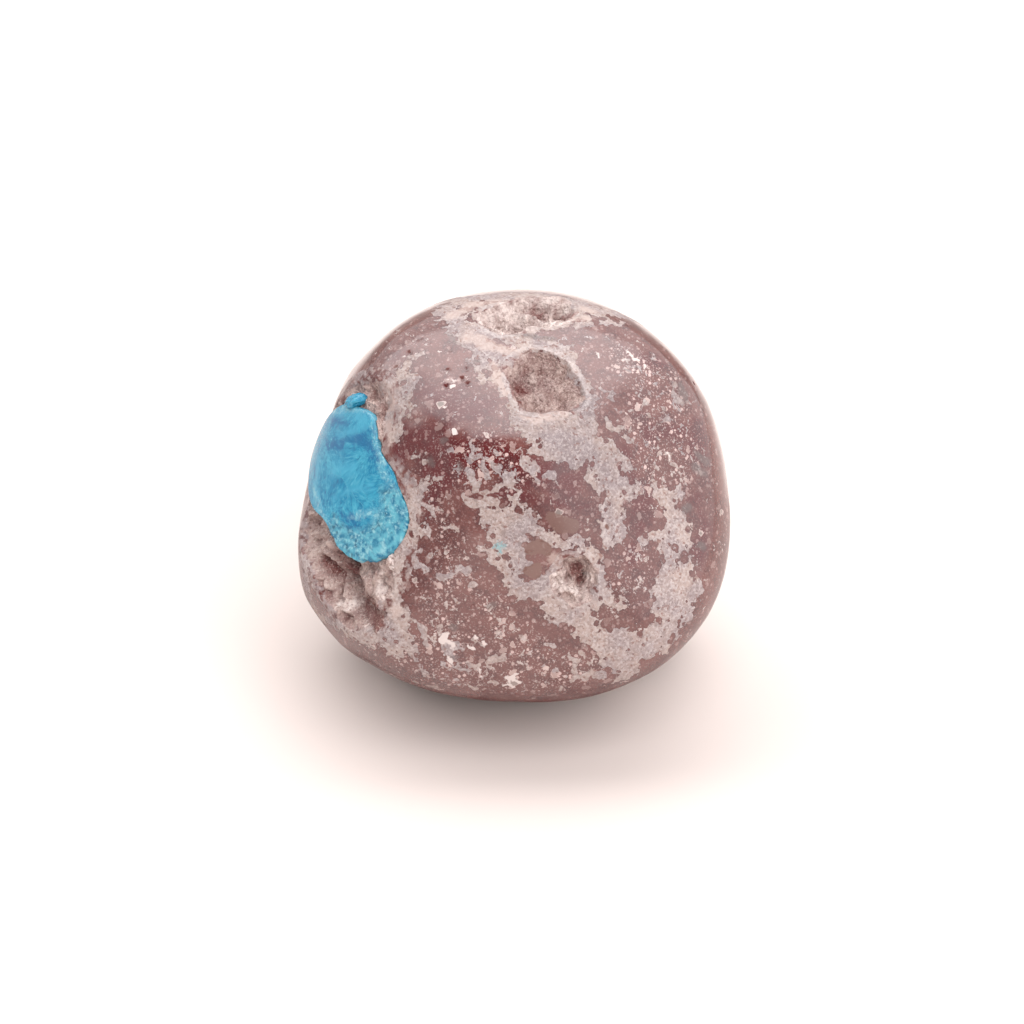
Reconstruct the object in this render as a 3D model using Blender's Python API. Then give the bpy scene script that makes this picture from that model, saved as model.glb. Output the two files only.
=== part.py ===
"""A tumbled stone of red-brown basalt, with a ball of blue cavansite in one of its hollows.

The basalt is one worn lump, cut flat where it rests. Its hollows are lined with crusts of zeolite
crystals, whose rims are worn flush with the stone. The cavansite ball fills most of the largest
hollow: tumbling has cut it off flush too, and left it rough along its lower edge, where its blades
show. Sizes are in millimetres and degrees here, and become metres as points are placed.
"""

import math
from collections import namedtuple

import bmesh
import bpy
import numpy as np
from mathutils import Matrix, Vector, noise

MM = 0.001

# The worn lump: each worn face is (azimuth, elevation, distance from the lump's middle).
# Azimuth runs from +X towards +Y, and the side that shows the cavansite faces -Y.
WORN_FACES = (
    (5, 4, 15.7),
    (173, 11, 15.8),
    (-172, -18, 17.1),
    (-16, -26, 16.6),
    (-150, -38, 15.9),
    (28, 38, 16.1),
    (154, 34, 15.7),
    (-100, -56, 14.7),
    (-45, -52, 15.4),
    (72, 60, 16.8),
    (118, 56, 16.6),
    (0, -90, 14.9),
    (-90, 8, 15.5),
    (-52, 30, 16.0),
    (-132, 26, 15.8),
    (-80, 68, 15.8),
    (90, 4, 15.2),
    (50, -10, 15.8),
    (134, -12, 15.9),
    (90, -48, 15.4),
)
FACE_SHARPNESS = 12  # how squarely two worn faces meet: a higher power is squarer
MIDDLE = (0.08, 0.4, 14.5)  # the lump's middle, with its resting face at height 0
MEAN_RADIUS = 16.0  # turns a distance along the surface into an angle at the middle
LUMP_CUTS = 14  # grid lines across each side of the cube that the lump is blown up from

GAP = 0.3  # left between two pieces that touch in the real stone
CUTTER_HEAD = 1.6  # how far a cutter stands above the worn surface
GOLDEN_ANGLE = math.pi * (3 - math.sqrt(5))  # spreads a count of things evenly round a spot
GOLDEN_SHARE = 0.618  # spreads a count of things evenly along a line

# A hollow's rim is given by its reaches from the hollow's middle, evenly spaced in angle from the
# way azimuth grows round by the way up. Pits are (across, up, depth, radius); a lump is a pit of
# negative depth.
Hollow = namedtuple(
    "Hollow",
    "name azimuth elevation reaches depth rim thickness bowl pits crystals crystal_size segments rings",
)
HOLLOWS = (
    Hollow(
        "side_zeolite_crust", -146, 22, (6.9, 6.1, 5.1, 8.2, 7.7, 6.6, 5.7, 5.7, 6.1, 6.5, 9.0, 7.5),
        2.0, 0.9, 0.95, 4,
        ((1.6, -5.3, 1.5, 1.3), (5.3, -7.0, 1.6, 1.3), (3.4, -6.4, 0.8, 0.9), (1.2, 7.0, 0.8, 1.4)),
        84, 1.9, 40, 8,
    ),
    Hollow(
        "upper_zeolite_crust", -72, 63.5, (2.6, 2.9, 3.1, 2.6, 2.3, 2.7, 2.5, 3.0), 1.3, 0.5, 0.8, 3,
        ((-1.2, -0.1, 0.6, 0.7), (0.9, 0.9, 0.4, 0.7)),
        11, 1.2, 22, 4,
    ),
    Hollow(
        "crown_zeolite_crust", -48, 85.8, (3.5, 1.7, 1.1, 3.4, 2.6, 1.2, 1.1, 2.6), 0.8, 0.4, 0.7, 3,
        ((1.55, 0.4, 1.0, 0.6), (2.2, -1.4, 0.8, 0.6), (0.0, -0.2, -0.4, 0.7)),
        12, 1.0, 26, 4,
    ),
    Hollow(
        "front_zeolite_crust", -73, 10.2, (1.3, 1.5, 1.9, 1.8, 1.8, 1.8, 1.7, 1.5), 1.1, 0.5, 0.7, 3,
        ((0.3, 0.5, 1.1, 0.6),),
        6, 1.0, 16, 4,
    ),
)
CRUST_LUMP = 0.35  # how far the crust's surface swells and sinks
CRUST_LUMP_SPACING = 1.7
CRUST_ROCK_RINGS = (1.0, 0.94, 0.82, 0.6, 0.3)  # shares of the reach, from the rim down
RIM_WOBBLE = 0.22
RIM_WOBBLE_TURNS = 3.1  # how quickly the wobble changes round the rim
CRYSTAL_TILT = 30
CRYSTAL_SIDES = 6
CRYSTAL_SPREAD = 0.88  # share of the reach that the crystals stand on
CRYSTAL_SIZES = (0.7, 1.15)  # smallest and largest, as shares of the hollow's crystal size
CRYSTAL_SHRINK = 0.5  # how much smaller they are at the rim
CRYSTAL_WIDTH, CRYSTAL_THICKNESS = 1.1, 0.6  # shares of the crystal's length
CRYSTAL_TIP = 0.62  # its end's share of its width
CRYSTAL_ROOT = 0.4  # share of its length that is sunk in the crust

BALL_AZIMUTH, BALL_ELEVATION = -147, 25
BALL_REACHES = (6.4, 4.7, 4.3, 5.4, 5.4, 5.8, 5.4, 4.4, 3.6, 3.4, 5.0, 6.6)
# The ball below its worn face, ring by ring: (share of the reach, depth).
BALL_FLANK = ((1.02, 0.8), (1.0, 1.9), (0.87, 3.1), (0.62, 4.1), (0.32, 4.7))
BALL_DEPTH = 4.9
BALL_WORN_RINGS = (0.3, 0.55, 0.72, 0.87, 1.0)
BALL_SEGMENTS = 40
ROUGH_HEADING = -32  # the middle of the rough lower edge, as an angle round the ball
ROUGH_SPREAD = 56
ROUGH_START = 0.45  # share of the reach at which the roughness starts
ROUGH_DEPTH = 1.0
BLADES = 22
BLADE_LENGTH, BLADE_WIDTH, BLADE_THICKNESS = 2.0, 1.3, 0.55
BLADE_SIDES = 4
BLADE_TIP = 0.55  # its end's share of its width
BLADE_SHARES = (0.58, 0.92)  # the band that they stand in, as shares of the ball's reach
NODULE = (-2.7, 5.5, 0.8)  # a small second ball, joined to the first: across, up and depth
NODULE_RADIUS = 0.9

# Gas bubbles cut open by wear, in a swarm.
VESICLES = 11
VESICLE_RADII = (0.25, 0.42)
VESICLE_SWARM = (-136, 60)
VESICLE_SWARM_REACH = 4.4


def clear_scene():
    for old in list(bpy.data.objects):
        bpy.data.objects.remove(old, do_unlink=True)


def finish_material(name, colour, roughness):
    material = bpy.data.materials.new(name)
    material.use_nodes = True
    shader = material.node_tree.nodes["Principled BSDF"]
    shader.inputs["Base Color"].default_value = (*colour, 1.0)
    shader.inputs["Roughness"].default_value = roughness
    shader.inputs["Metallic"].default_value = 0.0
    return material


def toward(azimuth, elevation):
    """The unit vector at an azimuth and an elevation in degrees."""
    a, e = math.radians(azimuth), math.radians(elevation)
    return np.array((math.cos(a) * math.cos(e), math.sin(a) * math.cos(e), math.sin(e)))


FACE_NORMALS = np.array([toward(azimuth, elevation) for azimuth, elevation, _ in WORN_FACES])
FACE_DISTANCES = np.array([distance for _, _, distance in WORN_FACES])


def worn_radius(direction):
    """How far the worn surface lies from the middle: the worn faces' planes, blended by a power."""
    facing = np.maximum(FACE_NORMALS @ np.asarray(direction), 0.0) / FACE_DISTANCES
    return float((facing**FACE_SHARPNESS).sum() ** (-1.0 / FACE_SHARPNESS))


class Spot:
    """A place on the worn surface that points are laid out round, across and up, at a depth."""

    def __init__(self, azimuth, elevation):
        a = math.radians(azimuth)
        self.out = toward(azimuth, elevation)
        self.across = np.array((-math.sin(a), math.cos(a), 0.0))
        self.up = np.cross(self.out, self.across)

    def direction(self, across, up):
        distance = math.hypot(across, up)
        if distance < 1e-9:
            return self.out
        bend = distance / MEAN_RADIUS
        heading = (self.across * across + self.up * up) / distance
        return self.out * math.cos(bend) + heading * math.sin(bend)

    def coordinates(self, direction):
        """How far across and up along the surface a direction lies from this place."""
        across, up = direction @ self.across, direction @ self.up
        sideways = math.hypot(across, up)
        distance = MEAN_RADIUS * math.atan2(sideways, direction @ self.out)
        return across / sideways * distance, up / sideways * distance

    def place(self, across, up, depth):
        """The point at that place, that deep below the worn surface, in metres."""
        direction = self.direction(across, up)
        return Vector((np.array(MIDDLE) + direction * (worn_radius(direction) - depth)) * MM)


def reach_at(reaches, angle):
    """The reach at an angle in radians: a smooth closed curve through the evenly spaced reaches."""
    position = angle / math.tau * len(reaches)
    first = math.floor(position)
    share = position - first
    before, here, after, beyond = (reaches[(first + step) % len(reaches)] for step in (-1, 0, 1, 2))
    slope, next_slope = (after - before) / 2, (beyond - here) / 2
    rise = after - here
    return here + share * (slope + share * (3 * rise - 2 * slope - next_slope
                                            + share * (slope + next_slope - 2 * rise)))


def wobbly_reach(reaches, angle):
    """The reach at an angle, with a broken rim's small unevenness."""
    wobble = noise.noise(Vector((math.cos(angle), math.sin(angle), sum(reaches))) * RIM_WOBBLE_TURNS)
    return reach_at(reaches, angle) + RIM_WOBBLE * wobble


def lumps(point):
    """Smooth unevenness from -1 to 1 at a point in metres."""
    return noise.noise(point / (CRUST_LUMP_SPACING * MM))


def skinned_solid(name, first_pole, rings, last_pole):
    """A closed mesh object over rings of points, closed by a fan at each end."""
    mesh = bmesh.new()
    rows = [[mesh.verts.new(point) for point in ring] for ring in rings]
    count = len(rows[0])
    start, end = mesh.verts.new(first_pole), mesh.verts.new(last_pole)
    for i in range(count):
        j = (i + 1) % count
        mesh.faces.new((start, rows[0][i], rows[0][j]))
        mesh.faces.new((end, rows[-1][j], rows[-1][i]))
        for row, below in zip(rows, rows[1:]):
            mesh.faces.new((row[i], below[i], below[j], row[j]))
    return mesh_object(name, mesh)


def mesh_object(name, mesh):
    """An object from a bmesh, triangulated and with its faces pointing outwards."""
    bmesh.ops.recalc_face_normals(mesh, faces=mesh.faces[:])
    bmesh.ops.triangulate(mesh, faces=mesh.faces[:])
    data = bpy.data.meshes.new(name)
    mesh.to_mesh(data)
    mesh.free()
    made = bpy.data.objects.new(name, data)
    bpy.context.scene.collection.objects.link(made)
    return made


def helper(made):
    made.hide_render = True
    made.display_type = "WIRE"
    return made


def boolean(target, operation, other, overlapping=False):
    """A live Boolean. overlapping says that the other object's own shapes cross each other."""
    modifier = target.modifiers.new(f"{operation.lower()} {other.name}", "BOOLEAN")
    modifier.operation = operation
    modifier.object = other
    modifier.solver = "EXACT"
    modifier.use_self = overlapping


def ring_angles(segments):
    return [math.tau * i / segments for i in range(segments)]


def crust_depth(hollow, spot, share, angle):
    """How deep the open side of a crust lies at a share of its reach: a bowl, its pits and lumps."""
    reach = wobbly_reach(hollow.reaches, angle) * share
    across, up = reach * math.cos(angle), reach * math.sin(angle)
    bowl = 1.0 - share**hollow.bowl
    depth = hollow.depth * bowl
    for pit_across, pit_up, pit_depth, radius in hollow.pits:
        away = math.hypot(across - pit_across, up - pit_up) / radius
        depth += pit_depth * math.exp(-away * away) * min(1.0, 2 * bowl)
    return depth + CRUST_LUMP * lumps(spot.place(across, up, 0.0)) * min(1.0, 3 * bowl)


def crust_shell(hollow):
    """The crust as a bowl: its open side, a rim worn flush with the stone, and its rock side."""
    spot = Spot(hollow.azimuth, hollow.elevation)
    angles = ring_angles(hollow.segments)
    rings = []
    for step in range(1, hollow.rings + 1):
        share = step / hollow.rings
        rings.append([
            spot.place(
                wobbly_reach(hollow.reaches, angle) * share * math.cos(angle),
                wobbly_reach(hollow.reaches, angle) * share * math.sin(angle),
                crust_depth(hollow, spot, share, angle),
            )
            for angle in angles
        ])
    rings += rock_side_rings(hollow, spot, 0.0)
    floor = spot.place(0.0, 0.0, crust_depth(hollow, spot, 0.0, 0.0))
    return skinned_solid(hollow.name, floor, rings, rock_side_pole(hollow, spot, 0.0))


def deepest(hollow):
    """The depth of a hollow in the rock, under its crust and its deepest pit."""
    return hollow.depth + hollow.thickness + CRUST_LUMP + 0.6 * max(pit[2] for pit in hollow.pits)


def rock_side_rings(hollow, spot, grow):
    """The crust's rock side from its rim down, grown by the gap where it cuts the stone."""
    rings = []
    for share in CRUST_ROCK_RINGS:
        ring = []
        for angle in ring_angles(hollow.segments):
            reach = (wobbly_reach(hollow.reaches, angle) + hollow.rim) * share + grow
            depth = (deepest(hollow) + grow) * (1.0 - share**4)
            ring.append(spot.place(reach * math.cos(angle), reach * math.sin(angle), depth))
        rings.append(ring)
    return rings


def rock_side_pole(hollow, spot, grow):
    return spot.place(0.0, 0.0, deepest(hollow) + grow)


def raised_ring(spot, reaches, grow, segments):
    """A ring above the worn surface, from which a cutter goes down."""
    return [
        spot.place(
            (wobbly_reach(reaches, angle) + grow) * math.cos(angle),
            (wobbly_reach(reaches, angle) + grow) * math.sin(angle),
            -CUTTER_HEAD,
        )
        for angle in ring_angles(segments)
    ]


def hollow_cutter(hollow):
    spot = Spot(hollow.azimuth, hollow.elevation)
    head = raised_ring(spot, hollow.reaches, hollow.rim + GAP, hollow.segments)
    rings = [head, *rock_side_rings(hollow, spot, GAP)]
    cutter = skinned_solid(
        f"{hollow.name}_cutter",
        spot.place(0.0, 0.0, -CUTTER_HEAD),
        rings,
        rock_side_pole(hollow, spot, GAP),
    )
    return helper(cutter)


def add_prism(mesh, foot, axis, spin, length, width, thickness, sides, tip):
    """One tapered crystal in a bmesh, standing at foot along axis: tip is its end's share of width."""
    turn = axis.to_track_quat("Z", "Y").to_matrix().to_4x4()
    shape = Matrix.Diagonal((width / 2, thickness / 2, length, 1.0))
    stand = Matrix.Translation((0.0, 0.0, 0.5))
    bmesh.ops.create_cone(
        mesh,
        cap_ends=True,
        segments=sides,
        radius1=1.0,
        radius2=tip,
        depth=1.0,
        matrix=Matrix.Translation(foot) @ turn @ Matrix.Rotation(spin, 4, "Z") @ shape @ stand,
    )


def leaning(out, tilt, heading):
    """A vector near out, leaning by tilt degrees towards a heading in radians."""
    side = out.orthogonal().normalized()
    lean = side * math.cos(heading) + out.cross(side) * math.sin(heading)
    return (out + lean * math.tan(math.radians(tilt))).normalized()


def near_ball(direction, margin):
    """Whether a direction from the lump's middle meets the ball, or passes within a margin of it."""
    across, up = Spot(BALL_AZIMUTH, BALL_ELEVATION).coordinates(direction)
    return math.hypot(across, up) < reach_at(BALL_REACHES, math.atan2(up, across)) + margin


def crust_crystals(hollow, rng):
    """The crystals that stand out of a crust: blunt six-sided tablets, leaning each its own way."""
    spot = Spot(hollow.azimuth, hollow.elevation)
    mesh = bmesh.new()
    for number in range(hollow.crystals):
        share = CRYSTAL_SPREAD * math.sqrt((number + 0.5) / hollow.crystals)
        angle = number * GOLDEN_ANGLE + rng.uniform(-0.3, 0.3)
        reach = wobbly_reach(hollow.reaches, angle) * share
        across, up = reach * math.cos(angle), reach * math.sin(angle)
        direction = spot.direction(across, up)
        if near_ball(direction, hollow.crystal_size / 2):
            continue
        size = hollow.crystal_size * rng.uniform(*CRYSTAL_SIZES) * (1.2 - CRYSTAL_SHRINK * share)
        depth = max(crust_depth(hollow, spot, share, angle) + CRYSTAL_ROOT * size, 1.1 * size)
        add_prism(
            mesh,
            spot.place(across, up, depth),
            leaning(Vector(direction), CRYSTAL_TILT * rng.uniform(0.2, 1.0), rng.uniform(0, math.tau)),
            rng.uniform(0, math.tau),
            size * MM,
            size * CRYSTAL_WIDTH * MM,
            size * CRYSTAL_THICKNESS * MM,
            CRYSTAL_SIDES,
            CRYSTAL_TIP,
        )
    return helper(mesh_object(f"{hollow.name}_crystals", mesh))


def roughness(share, angle):
    """From 0 to 1, how far tumbling has left the ball's face rough at a place on it."""
    turn = (math.degrees(angle) - ROUGH_HEADING + 180) % 360 - 180
    sideways = max(0.0, 1.0 - abs(turn) / ROUGH_SPREAD)
    outwards = max(0.0, (share - ROUGH_START) / (1.0 - ROUGH_START))
    return min(1.0, 3 * sideways) * min(1.0, 2 * outwards)


def ball_ring(spot, share, depth, grow):
    """A ring of the socket that the ball sits in, grown by the gap."""
    ring = []
    for angle in ring_angles(BALL_SEGMENTS):
        reach = wobbly_reach(BALL_REACHES, angle) * share + grow
        ring.append(spot.place(reach * math.cos(angle), reach * math.sin(angle), depth + grow))
    return ring


def ball_body_ring(spot, share, depth):
    """A ring of the ball: its worn face sinks and turns lumpy where it is rough."""
    ring = []
    for angle in ring_angles(BALL_SEGMENTS):
        reach = wobbly_reach(BALL_REACHES, angle) * share
        across, up = reach * math.cos(angle), reach * math.sin(angle)
        sunk = ROUGH_DEPTH * roughness(share, angle) * (1.0 - depth / BALL_DEPTH)
        uneven = 1.0 + 0.5 * lumps(spot.place(across, up, 0.0) * 1.7)
        ring.append(spot.place(across, up, depth + sunk * uneven))
    return ring


def ball_body(spot):
    rings = [ball_body_ring(spot, share, 0.0) for share in BALL_WORN_RINGS]
    rings += [ball_body_ring(spot, share, depth) for share, depth in BALL_FLANK]
    face, foot = spot.place(0.0, 0.0, 0.0), spot.place(0.0, 0.0, BALL_DEPTH)
    return skinned_solid("cavansite_ball", face, rings, foot)


def ball_cutter(spot):
    head = raised_ring(spot, BALL_REACHES, GAP, BALL_SEGMENTS)
    rings = [head, ball_ring(spot, 1.0, -GAP, GAP)]
    rings += [ball_ring(spot, share, depth, GAP) for share, depth in BALL_FLANK]
    top, foot = spot.place(0.0, 0.0, -CUTTER_HEAD), spot.place(0.0, 0.0, BALL_DEPTH + GAP)
    return helper(skinned_solid("ball_cutter", top, rings, foot))


def ball_blades(spot, rng):
    """The blades along the ball's rough edge, four-sided and blunt, fanning from its inside."""
    mesh = bmesh.new()
    for number in range(BLADES):
        turn = ((number * GOLDEN_SHARE) % 1.0 * 2 - 1) * ROUGH_SPREAD * 0.9
        angle = math.radians(ROUGH_HEADING + turn)
        share = BLADE_SHARES[0] + (BLADE_SHARES[1] - BLADE_SHARES[0]) * ((number * 0.755) % 1.0)
        reach = wobbly_reach(BALL_REACHES, angle) * share
        across, up = reach * math.cos(angle), reach * math.sin(angle)
        length = BLADE_LENGTH * rng.uniform(0.85, 1.1)
        foot = spot.place(across * 0.86, up * 0.86, 1.05 * length)
        tip = spot.place(across * 1.03, up * 1.03, rng.uniform(0.05, 0.35))
        add_prism(
            mesh,
            foot,
            (tip - foot).normalized(),
            angle + rng.uniform(-0.8, 0.8),
            length * MM,
            BLADE_WIDTH * rng.uniform(0.8, 1.2) * MM,
            BLADE_THICKNESS * MM,
            BLADE_SIDES,
            BLADE_TIP,
        )
    return helper(mesh_object("ball_blades", mesh))


def ball_nodule(spot, name, grow):
    """The small second ball, knobbly, sunk into the flank of the first."""
    mesh = bmesh.new()
    bmesh.ops.create_icosphere(mesh, subdivisions=2, radius=(NODULE_RADIUS + grow) * MM)
    for vertex in mesh.verts:
        vertex.co *= 1.0 + 0.15 * lumps(vertex.co.normalized() * 2.5 * MM)
    bmesh.ops.translate(mesh, verts=mesh.verts[:], vec=spot.place(*NODULE))
    return helper(mesh_object(name, mesh))


def vesicle_cutters(rng):
    """Small spheres on the worn surface, most of them in one swarm, well clear of each other."""
    spot = Spot(*VESICLE_SWARM)
    mesh = bmesh.new()
    for number in range(VESICLES):
        angle = number * GOLDEN_ANGLE + rng.uniform(-0.2, 0.2)
        reach = VESICLE_SWARM_REACH * math.sqrt((number + 0.5) / VESICLES)
        radius = rng.uniform(*VESICLE_RADII)
        middle = spot.place(reach * math.cos(angle), reach * math.sin(angle), radius * 0.15)
        bmesh.ops.create_icosphere(
            mesh, subdivisions=1, radius=radius * MM, matrix=Matrix.Translation(middle)
        )
    return helper(mesh_object("vesicle_cutters", mesh))


def basalt_lump():
    """The worn lump before its hollows are cut, with the flat face that it rests on."""
    mesh = bmesh.new()
    bmesh.ops.create_cube(mesh, size=2.0)
    bmesh.ops.subdivide_edges(mesh, edges=mesh.edges[:], cuts=LUMP_CUTS, use_grid_fill=True)
    for vertex in mesh.verts:
        even = np.tan(np.array(vertex.co) * math.pi / 4)
        direction = even / np.linalg.norm(even)
        vertex.co = Vector((np.array(MIDDLE) + direction * worn_radius(direction)) * MM)
    cut = bmesh.ops.bisect_plane(
        mesh,
        geom=mesh.verts[:] + mesh.edges[:] + mesh.faces[:],
        plane_co=(0.0, 0.0, 0.0),
        plane_no=(0.0, 0.0, -1.0),
        clear_outer=True,
    )
    edge = [item for item in cut["geom_cut"] if isinstance(item, bmesh.types.BMEdge)]
    bmesh.ops.contextual_create(mesh, geom=edge)
    return mesh_object("basalt_stone", mesh)


def build():
    clear_scene()
    rng = np.random.default_rng(7)
    basalt = finish_material("tumbled_basalt", (0.20, 0.11, 0.10), 0.35)
    zeolite = finish_material("zeolite_crystal_crust", (0.52, 0.40, 0.36), 0.6)
    cavansite = finish_material("cavansite_crystal", (0.04, 0.33, 0.52), 0.3)

    stone = basalt_lump()
    stone.data.materials.append(basalt)
    spot = Spot(BALL_AZIMUTH, BALL_ELEVATION)
    socket = ball_cutter(spot)
    nodule_socket = ball_nodule(spot, "nodule_cutter", GAP)

    for hollow in HOLLOWS:
        crust = crust_shell(hollow)
        crust.data.materials.append(zeolite)
        boolean(crust, "UNION", crust_crystals(hollow, rng), overlapping=True)
        if hollow is HOLLOWS[0]:
            boolean(crust, "DIFFERENCE", socket)
            boolean(crust, "DIFFERENCE", nodule_socket)
        boolean(stone, "DIFFERENCE", hollow_cutter(hollow))
    boolean(stone, "DIFFERENCE", socket)
    boolean(stone, "DIFFERENCE", nodule_socket)
    boolean(stone, "DIFFERENCE", vesicle_cutters(rng))

    ball = ball_body(spot)
    ball.data.materials.append(cavansite)
    boolean(ball, "UNION", ball_nodule(spot, "ball_nodule", 0.0))
    boolean(ball, "UNION", ball_blades(spot, rng), overlapping=True)


build()
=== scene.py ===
"""A tumbled stone of red-brown basalt with a ball of blue cavansite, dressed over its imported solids.

The basalt is one worn form. Its hollows hold crusts of zeolite crystals, and the largest also holds
the cavansite ball. A place on the side that is shown is written (across, up) in millimetres: how far
right of the stone's middle and how far above it that place appears, seen from the camera.
"""

import itertools
import math
from collections import namedtuple

import bpy
import numpy as np
from mathutils import Matrix, Vector

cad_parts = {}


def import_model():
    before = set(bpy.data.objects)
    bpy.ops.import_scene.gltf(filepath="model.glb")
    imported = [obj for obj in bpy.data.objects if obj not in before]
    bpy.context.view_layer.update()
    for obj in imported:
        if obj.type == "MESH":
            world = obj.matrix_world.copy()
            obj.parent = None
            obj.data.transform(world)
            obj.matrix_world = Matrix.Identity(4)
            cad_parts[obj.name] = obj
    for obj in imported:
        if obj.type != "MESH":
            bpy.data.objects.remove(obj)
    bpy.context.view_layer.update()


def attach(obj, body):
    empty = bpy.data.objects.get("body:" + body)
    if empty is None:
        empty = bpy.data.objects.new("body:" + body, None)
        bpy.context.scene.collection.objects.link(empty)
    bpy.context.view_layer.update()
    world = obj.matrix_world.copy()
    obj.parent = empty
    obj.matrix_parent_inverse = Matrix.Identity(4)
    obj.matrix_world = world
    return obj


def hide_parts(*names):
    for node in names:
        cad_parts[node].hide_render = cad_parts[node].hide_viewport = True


MM = 0.001

# ---------------------------------------------------------------- the worn form, as the solids have it

WORN_FACES = (  # azimuth, elevation, distance from the middle
    (5, 4, 15.7),
    (173, 11, 15.8),
    (-172, -18, 17.1),
    (-16, -26, 16.6),
    (-150, -38, 15.9),
    (28, 38, 16.1),
    (154, 34, 15.7),
    (-100, -56, 14.7),
    (-45, -52, 15.4),
    (72, 60, 16.8),
    (118, 56, 16.6),
    (0, -90, 14.9),
    (-90, 8, 15.5),
    (-52, 30, 16.0),
    (-132, 26, 15.8),
    (-80, 68, 15.8),
    (90, 4, 15.2),
    (50, -10, 15.8),
    (134, -12, 15.9),
    (90, -48, 15.4),
)
FACE_SHARPNESS = 12
MIDDLE = np.array((0.08, 0.4, 14.5))
MEAN_RADIUS = 16.0

CAMERA_ELEVATION = math.radians(31)
CAMERA_DISTANCE = 317.3
LENS, SENSOR = 150.0, 36.0
SHIFT = (-0.0024, -0.0059)
RIGHT = np.array((1.0, 0.0, 0.0))
UP = np.array((0.0, math.sin(CAMERA_ELEVATION), math.cos(CAMERA_ELEVATION)))
TOWARD = np.array((0.0, -math.cos(CAMERA_ELEVATION), math.sin(CAMERA_ELEVATION)))

# A hollow's rim is given by its reaches from the hollow's middle, evenly spaced in angle. Pits are
# (across, up, depth, radius). Crystal is the spacing of its largest crystals, bleached how far they
# are bleached, and cells how many cells its grid has along each side.
Hollow = namedtuple(
    "Hollow", "name azimuth elevation reaches depth rim thickness bowl pits crystal bleached cells"
)
HOLLOWS = (
    Hollow(
        "side_zeolite_crust", -146, 22, (6.9, 6.1, 5.1, 8.2, 7.7, 6.6, 5.7, 5.7, 6.1, 6.5, 9.6, 8.0),
        2.0, 0.9, 0.95, 4,
        ((1.6, -5.3, 1.0, 1.3), (5.3, -7.0, 1.3, 1.3), (3.4, -6.4, 0.5, 0.9), (1.2, 7.0, 0.8, 1.4)),
        0.75, 0.2, 240,
    ),
    Hollow(
        "upper_zeolite_crust", -72, 63.5, (2.6, 2.8, 3.4, 3.1, 2.5, 2.8, 2.3, 3.2), 1.3, 0.5, 0.8, 3,
        ((-1.6, 0.6, 0.5, 0.8), (-1.9, -0.8, 0.3, 0.5)), 0.4, 0.18, 120,
    ),
    Hollow(
        "crown_zeolite_crust", -48, 85.8, (4.3, 3.0, 2.3, 3.4, 2.6, 1.2, 1.1, 2.9), 0.8, 0.4, 0.7, 3,
        ((1.9, 0.7, 0.9, 0.8), (3.0, -0.9, 0.8, 0.7), (0.5, 0.0, -0.5, 0.6)), 0.6, 0.6, 130,
    ),
    Hollow(
        "front_zeolite_crust", -73, 10.2, (1.5, 1.6, 1.9, 2.0, 2.1, 2.0, 1.8, 1.5), 0.7, 0.5, 0.7, 3,
        ((0.2, 0.5, 0.3, 0.7), (0.4, -0.4, 0.3, 0.4)), 0.6, 0.4, 90,
    ),
)
CRUST_LUMP = 0.35
RIM_WOBBLE, RIM_WOBBLE_SPACING = 0.15, 0.3
RIM_OVERLAP = 0.4  # how far a crust's rim lies over the stone's face
RIM_TUCK = 0.12  # how far the rim's edge is tucked under that face

BALL_AZIMUTH, BALL_ELEVATION = -147, 25
BALL_REACHES = (6.55, 4.8, 4.0, 5.2, 5.4, 5.8, 5.4, 4.4, 3.6, 3.4, 5.15, 6.6)
BALL_FLANK = ((1.02, 0.8), (1.0, 1.9), (0.87, 3.1), (0.62, 4.1), (0.32, 4.7))
BALL_DEPTH = 4.9
ROUGH_HEADING, ROUGH_SPREAD, ROUGH_START, ROUGH_DEPTH = -32, 62, 0.5, 0.35


def unit(azimuth, elevation):
    """The unit vector at an azimuth and an elevation in degrees."""
    a, e = math.radians(azimuth), math.radians(elevation)
    return np.array((math.cos(a) * math.cos(e), math.sin(a) * math.cos(e), math.sin(e)))


FACE_NORMALS = np.array([unit(azimuth, elevation) for azimuth, elevation, _ in WORN_FACES])
FACE_DISTANCES = np.array([distance for _, _, distance in WORN_FACES])


def worn_radius(directions):
    """How far the worn form lies from the middle: its faces' planes, blended.

    It is the -1/12 power of the sum of the planes' inverse distances to the 12th.
    """
    facing = np.maximum(directions @ FACE_NORMALS.T, 0.0) / FACE_DISTANCES
    radius = (facing**FACE_SHARPNESS).sum(axis=-1) ** (-1.0 / FACE_SHARPNESS)
    downward = np.maximum(-directions[..., 2], 1e-6)
    return np.minimum(radius, MIDDLE[2] / downward)


def eased(value, low, high):
    """0 below low, 1 above high, and an S-curve between."""
    share = np.clip((value - low) / (high - low), 0.0, 1.0)
    return share * share * (3.0 - 2.0 * share)


NOISE_CELLS = 32  # after this many, the noise repeats


def lattice_noise(points, spacing, seed):
    """Smooth noise from -1 to 1: random values on a cubic lattice, blended with eased weights."""
    values = np.random.default_rng(seed).uniform(-1.0, 1.0, (NOISE_CELLS,) * 3)
    cell = points / spacing
    corner = np.floor(cell).astype(int)
    share = cell - corner
    share = share * share * (3.0 - 2.0 * share)
    total = np.zeros(points.shape[:-1])
    for step in itertools.product((0, 1), repeat=3):
        weight = np.prod(np.where(step, share, 1.0 - share), axis=-1)
        i, j, k = np.moveaxis((corner + step) % NOISE_CELLS, -1, 0)
        total += weight * values[i, j, k]
    return total


def noises(points, layers):
    """The sum of layers of noise, each a height, a spacing and a seed."""
    return sum(height * lattice_noise(points, spacing, seed) for height, spacing, seed in layers)


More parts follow.
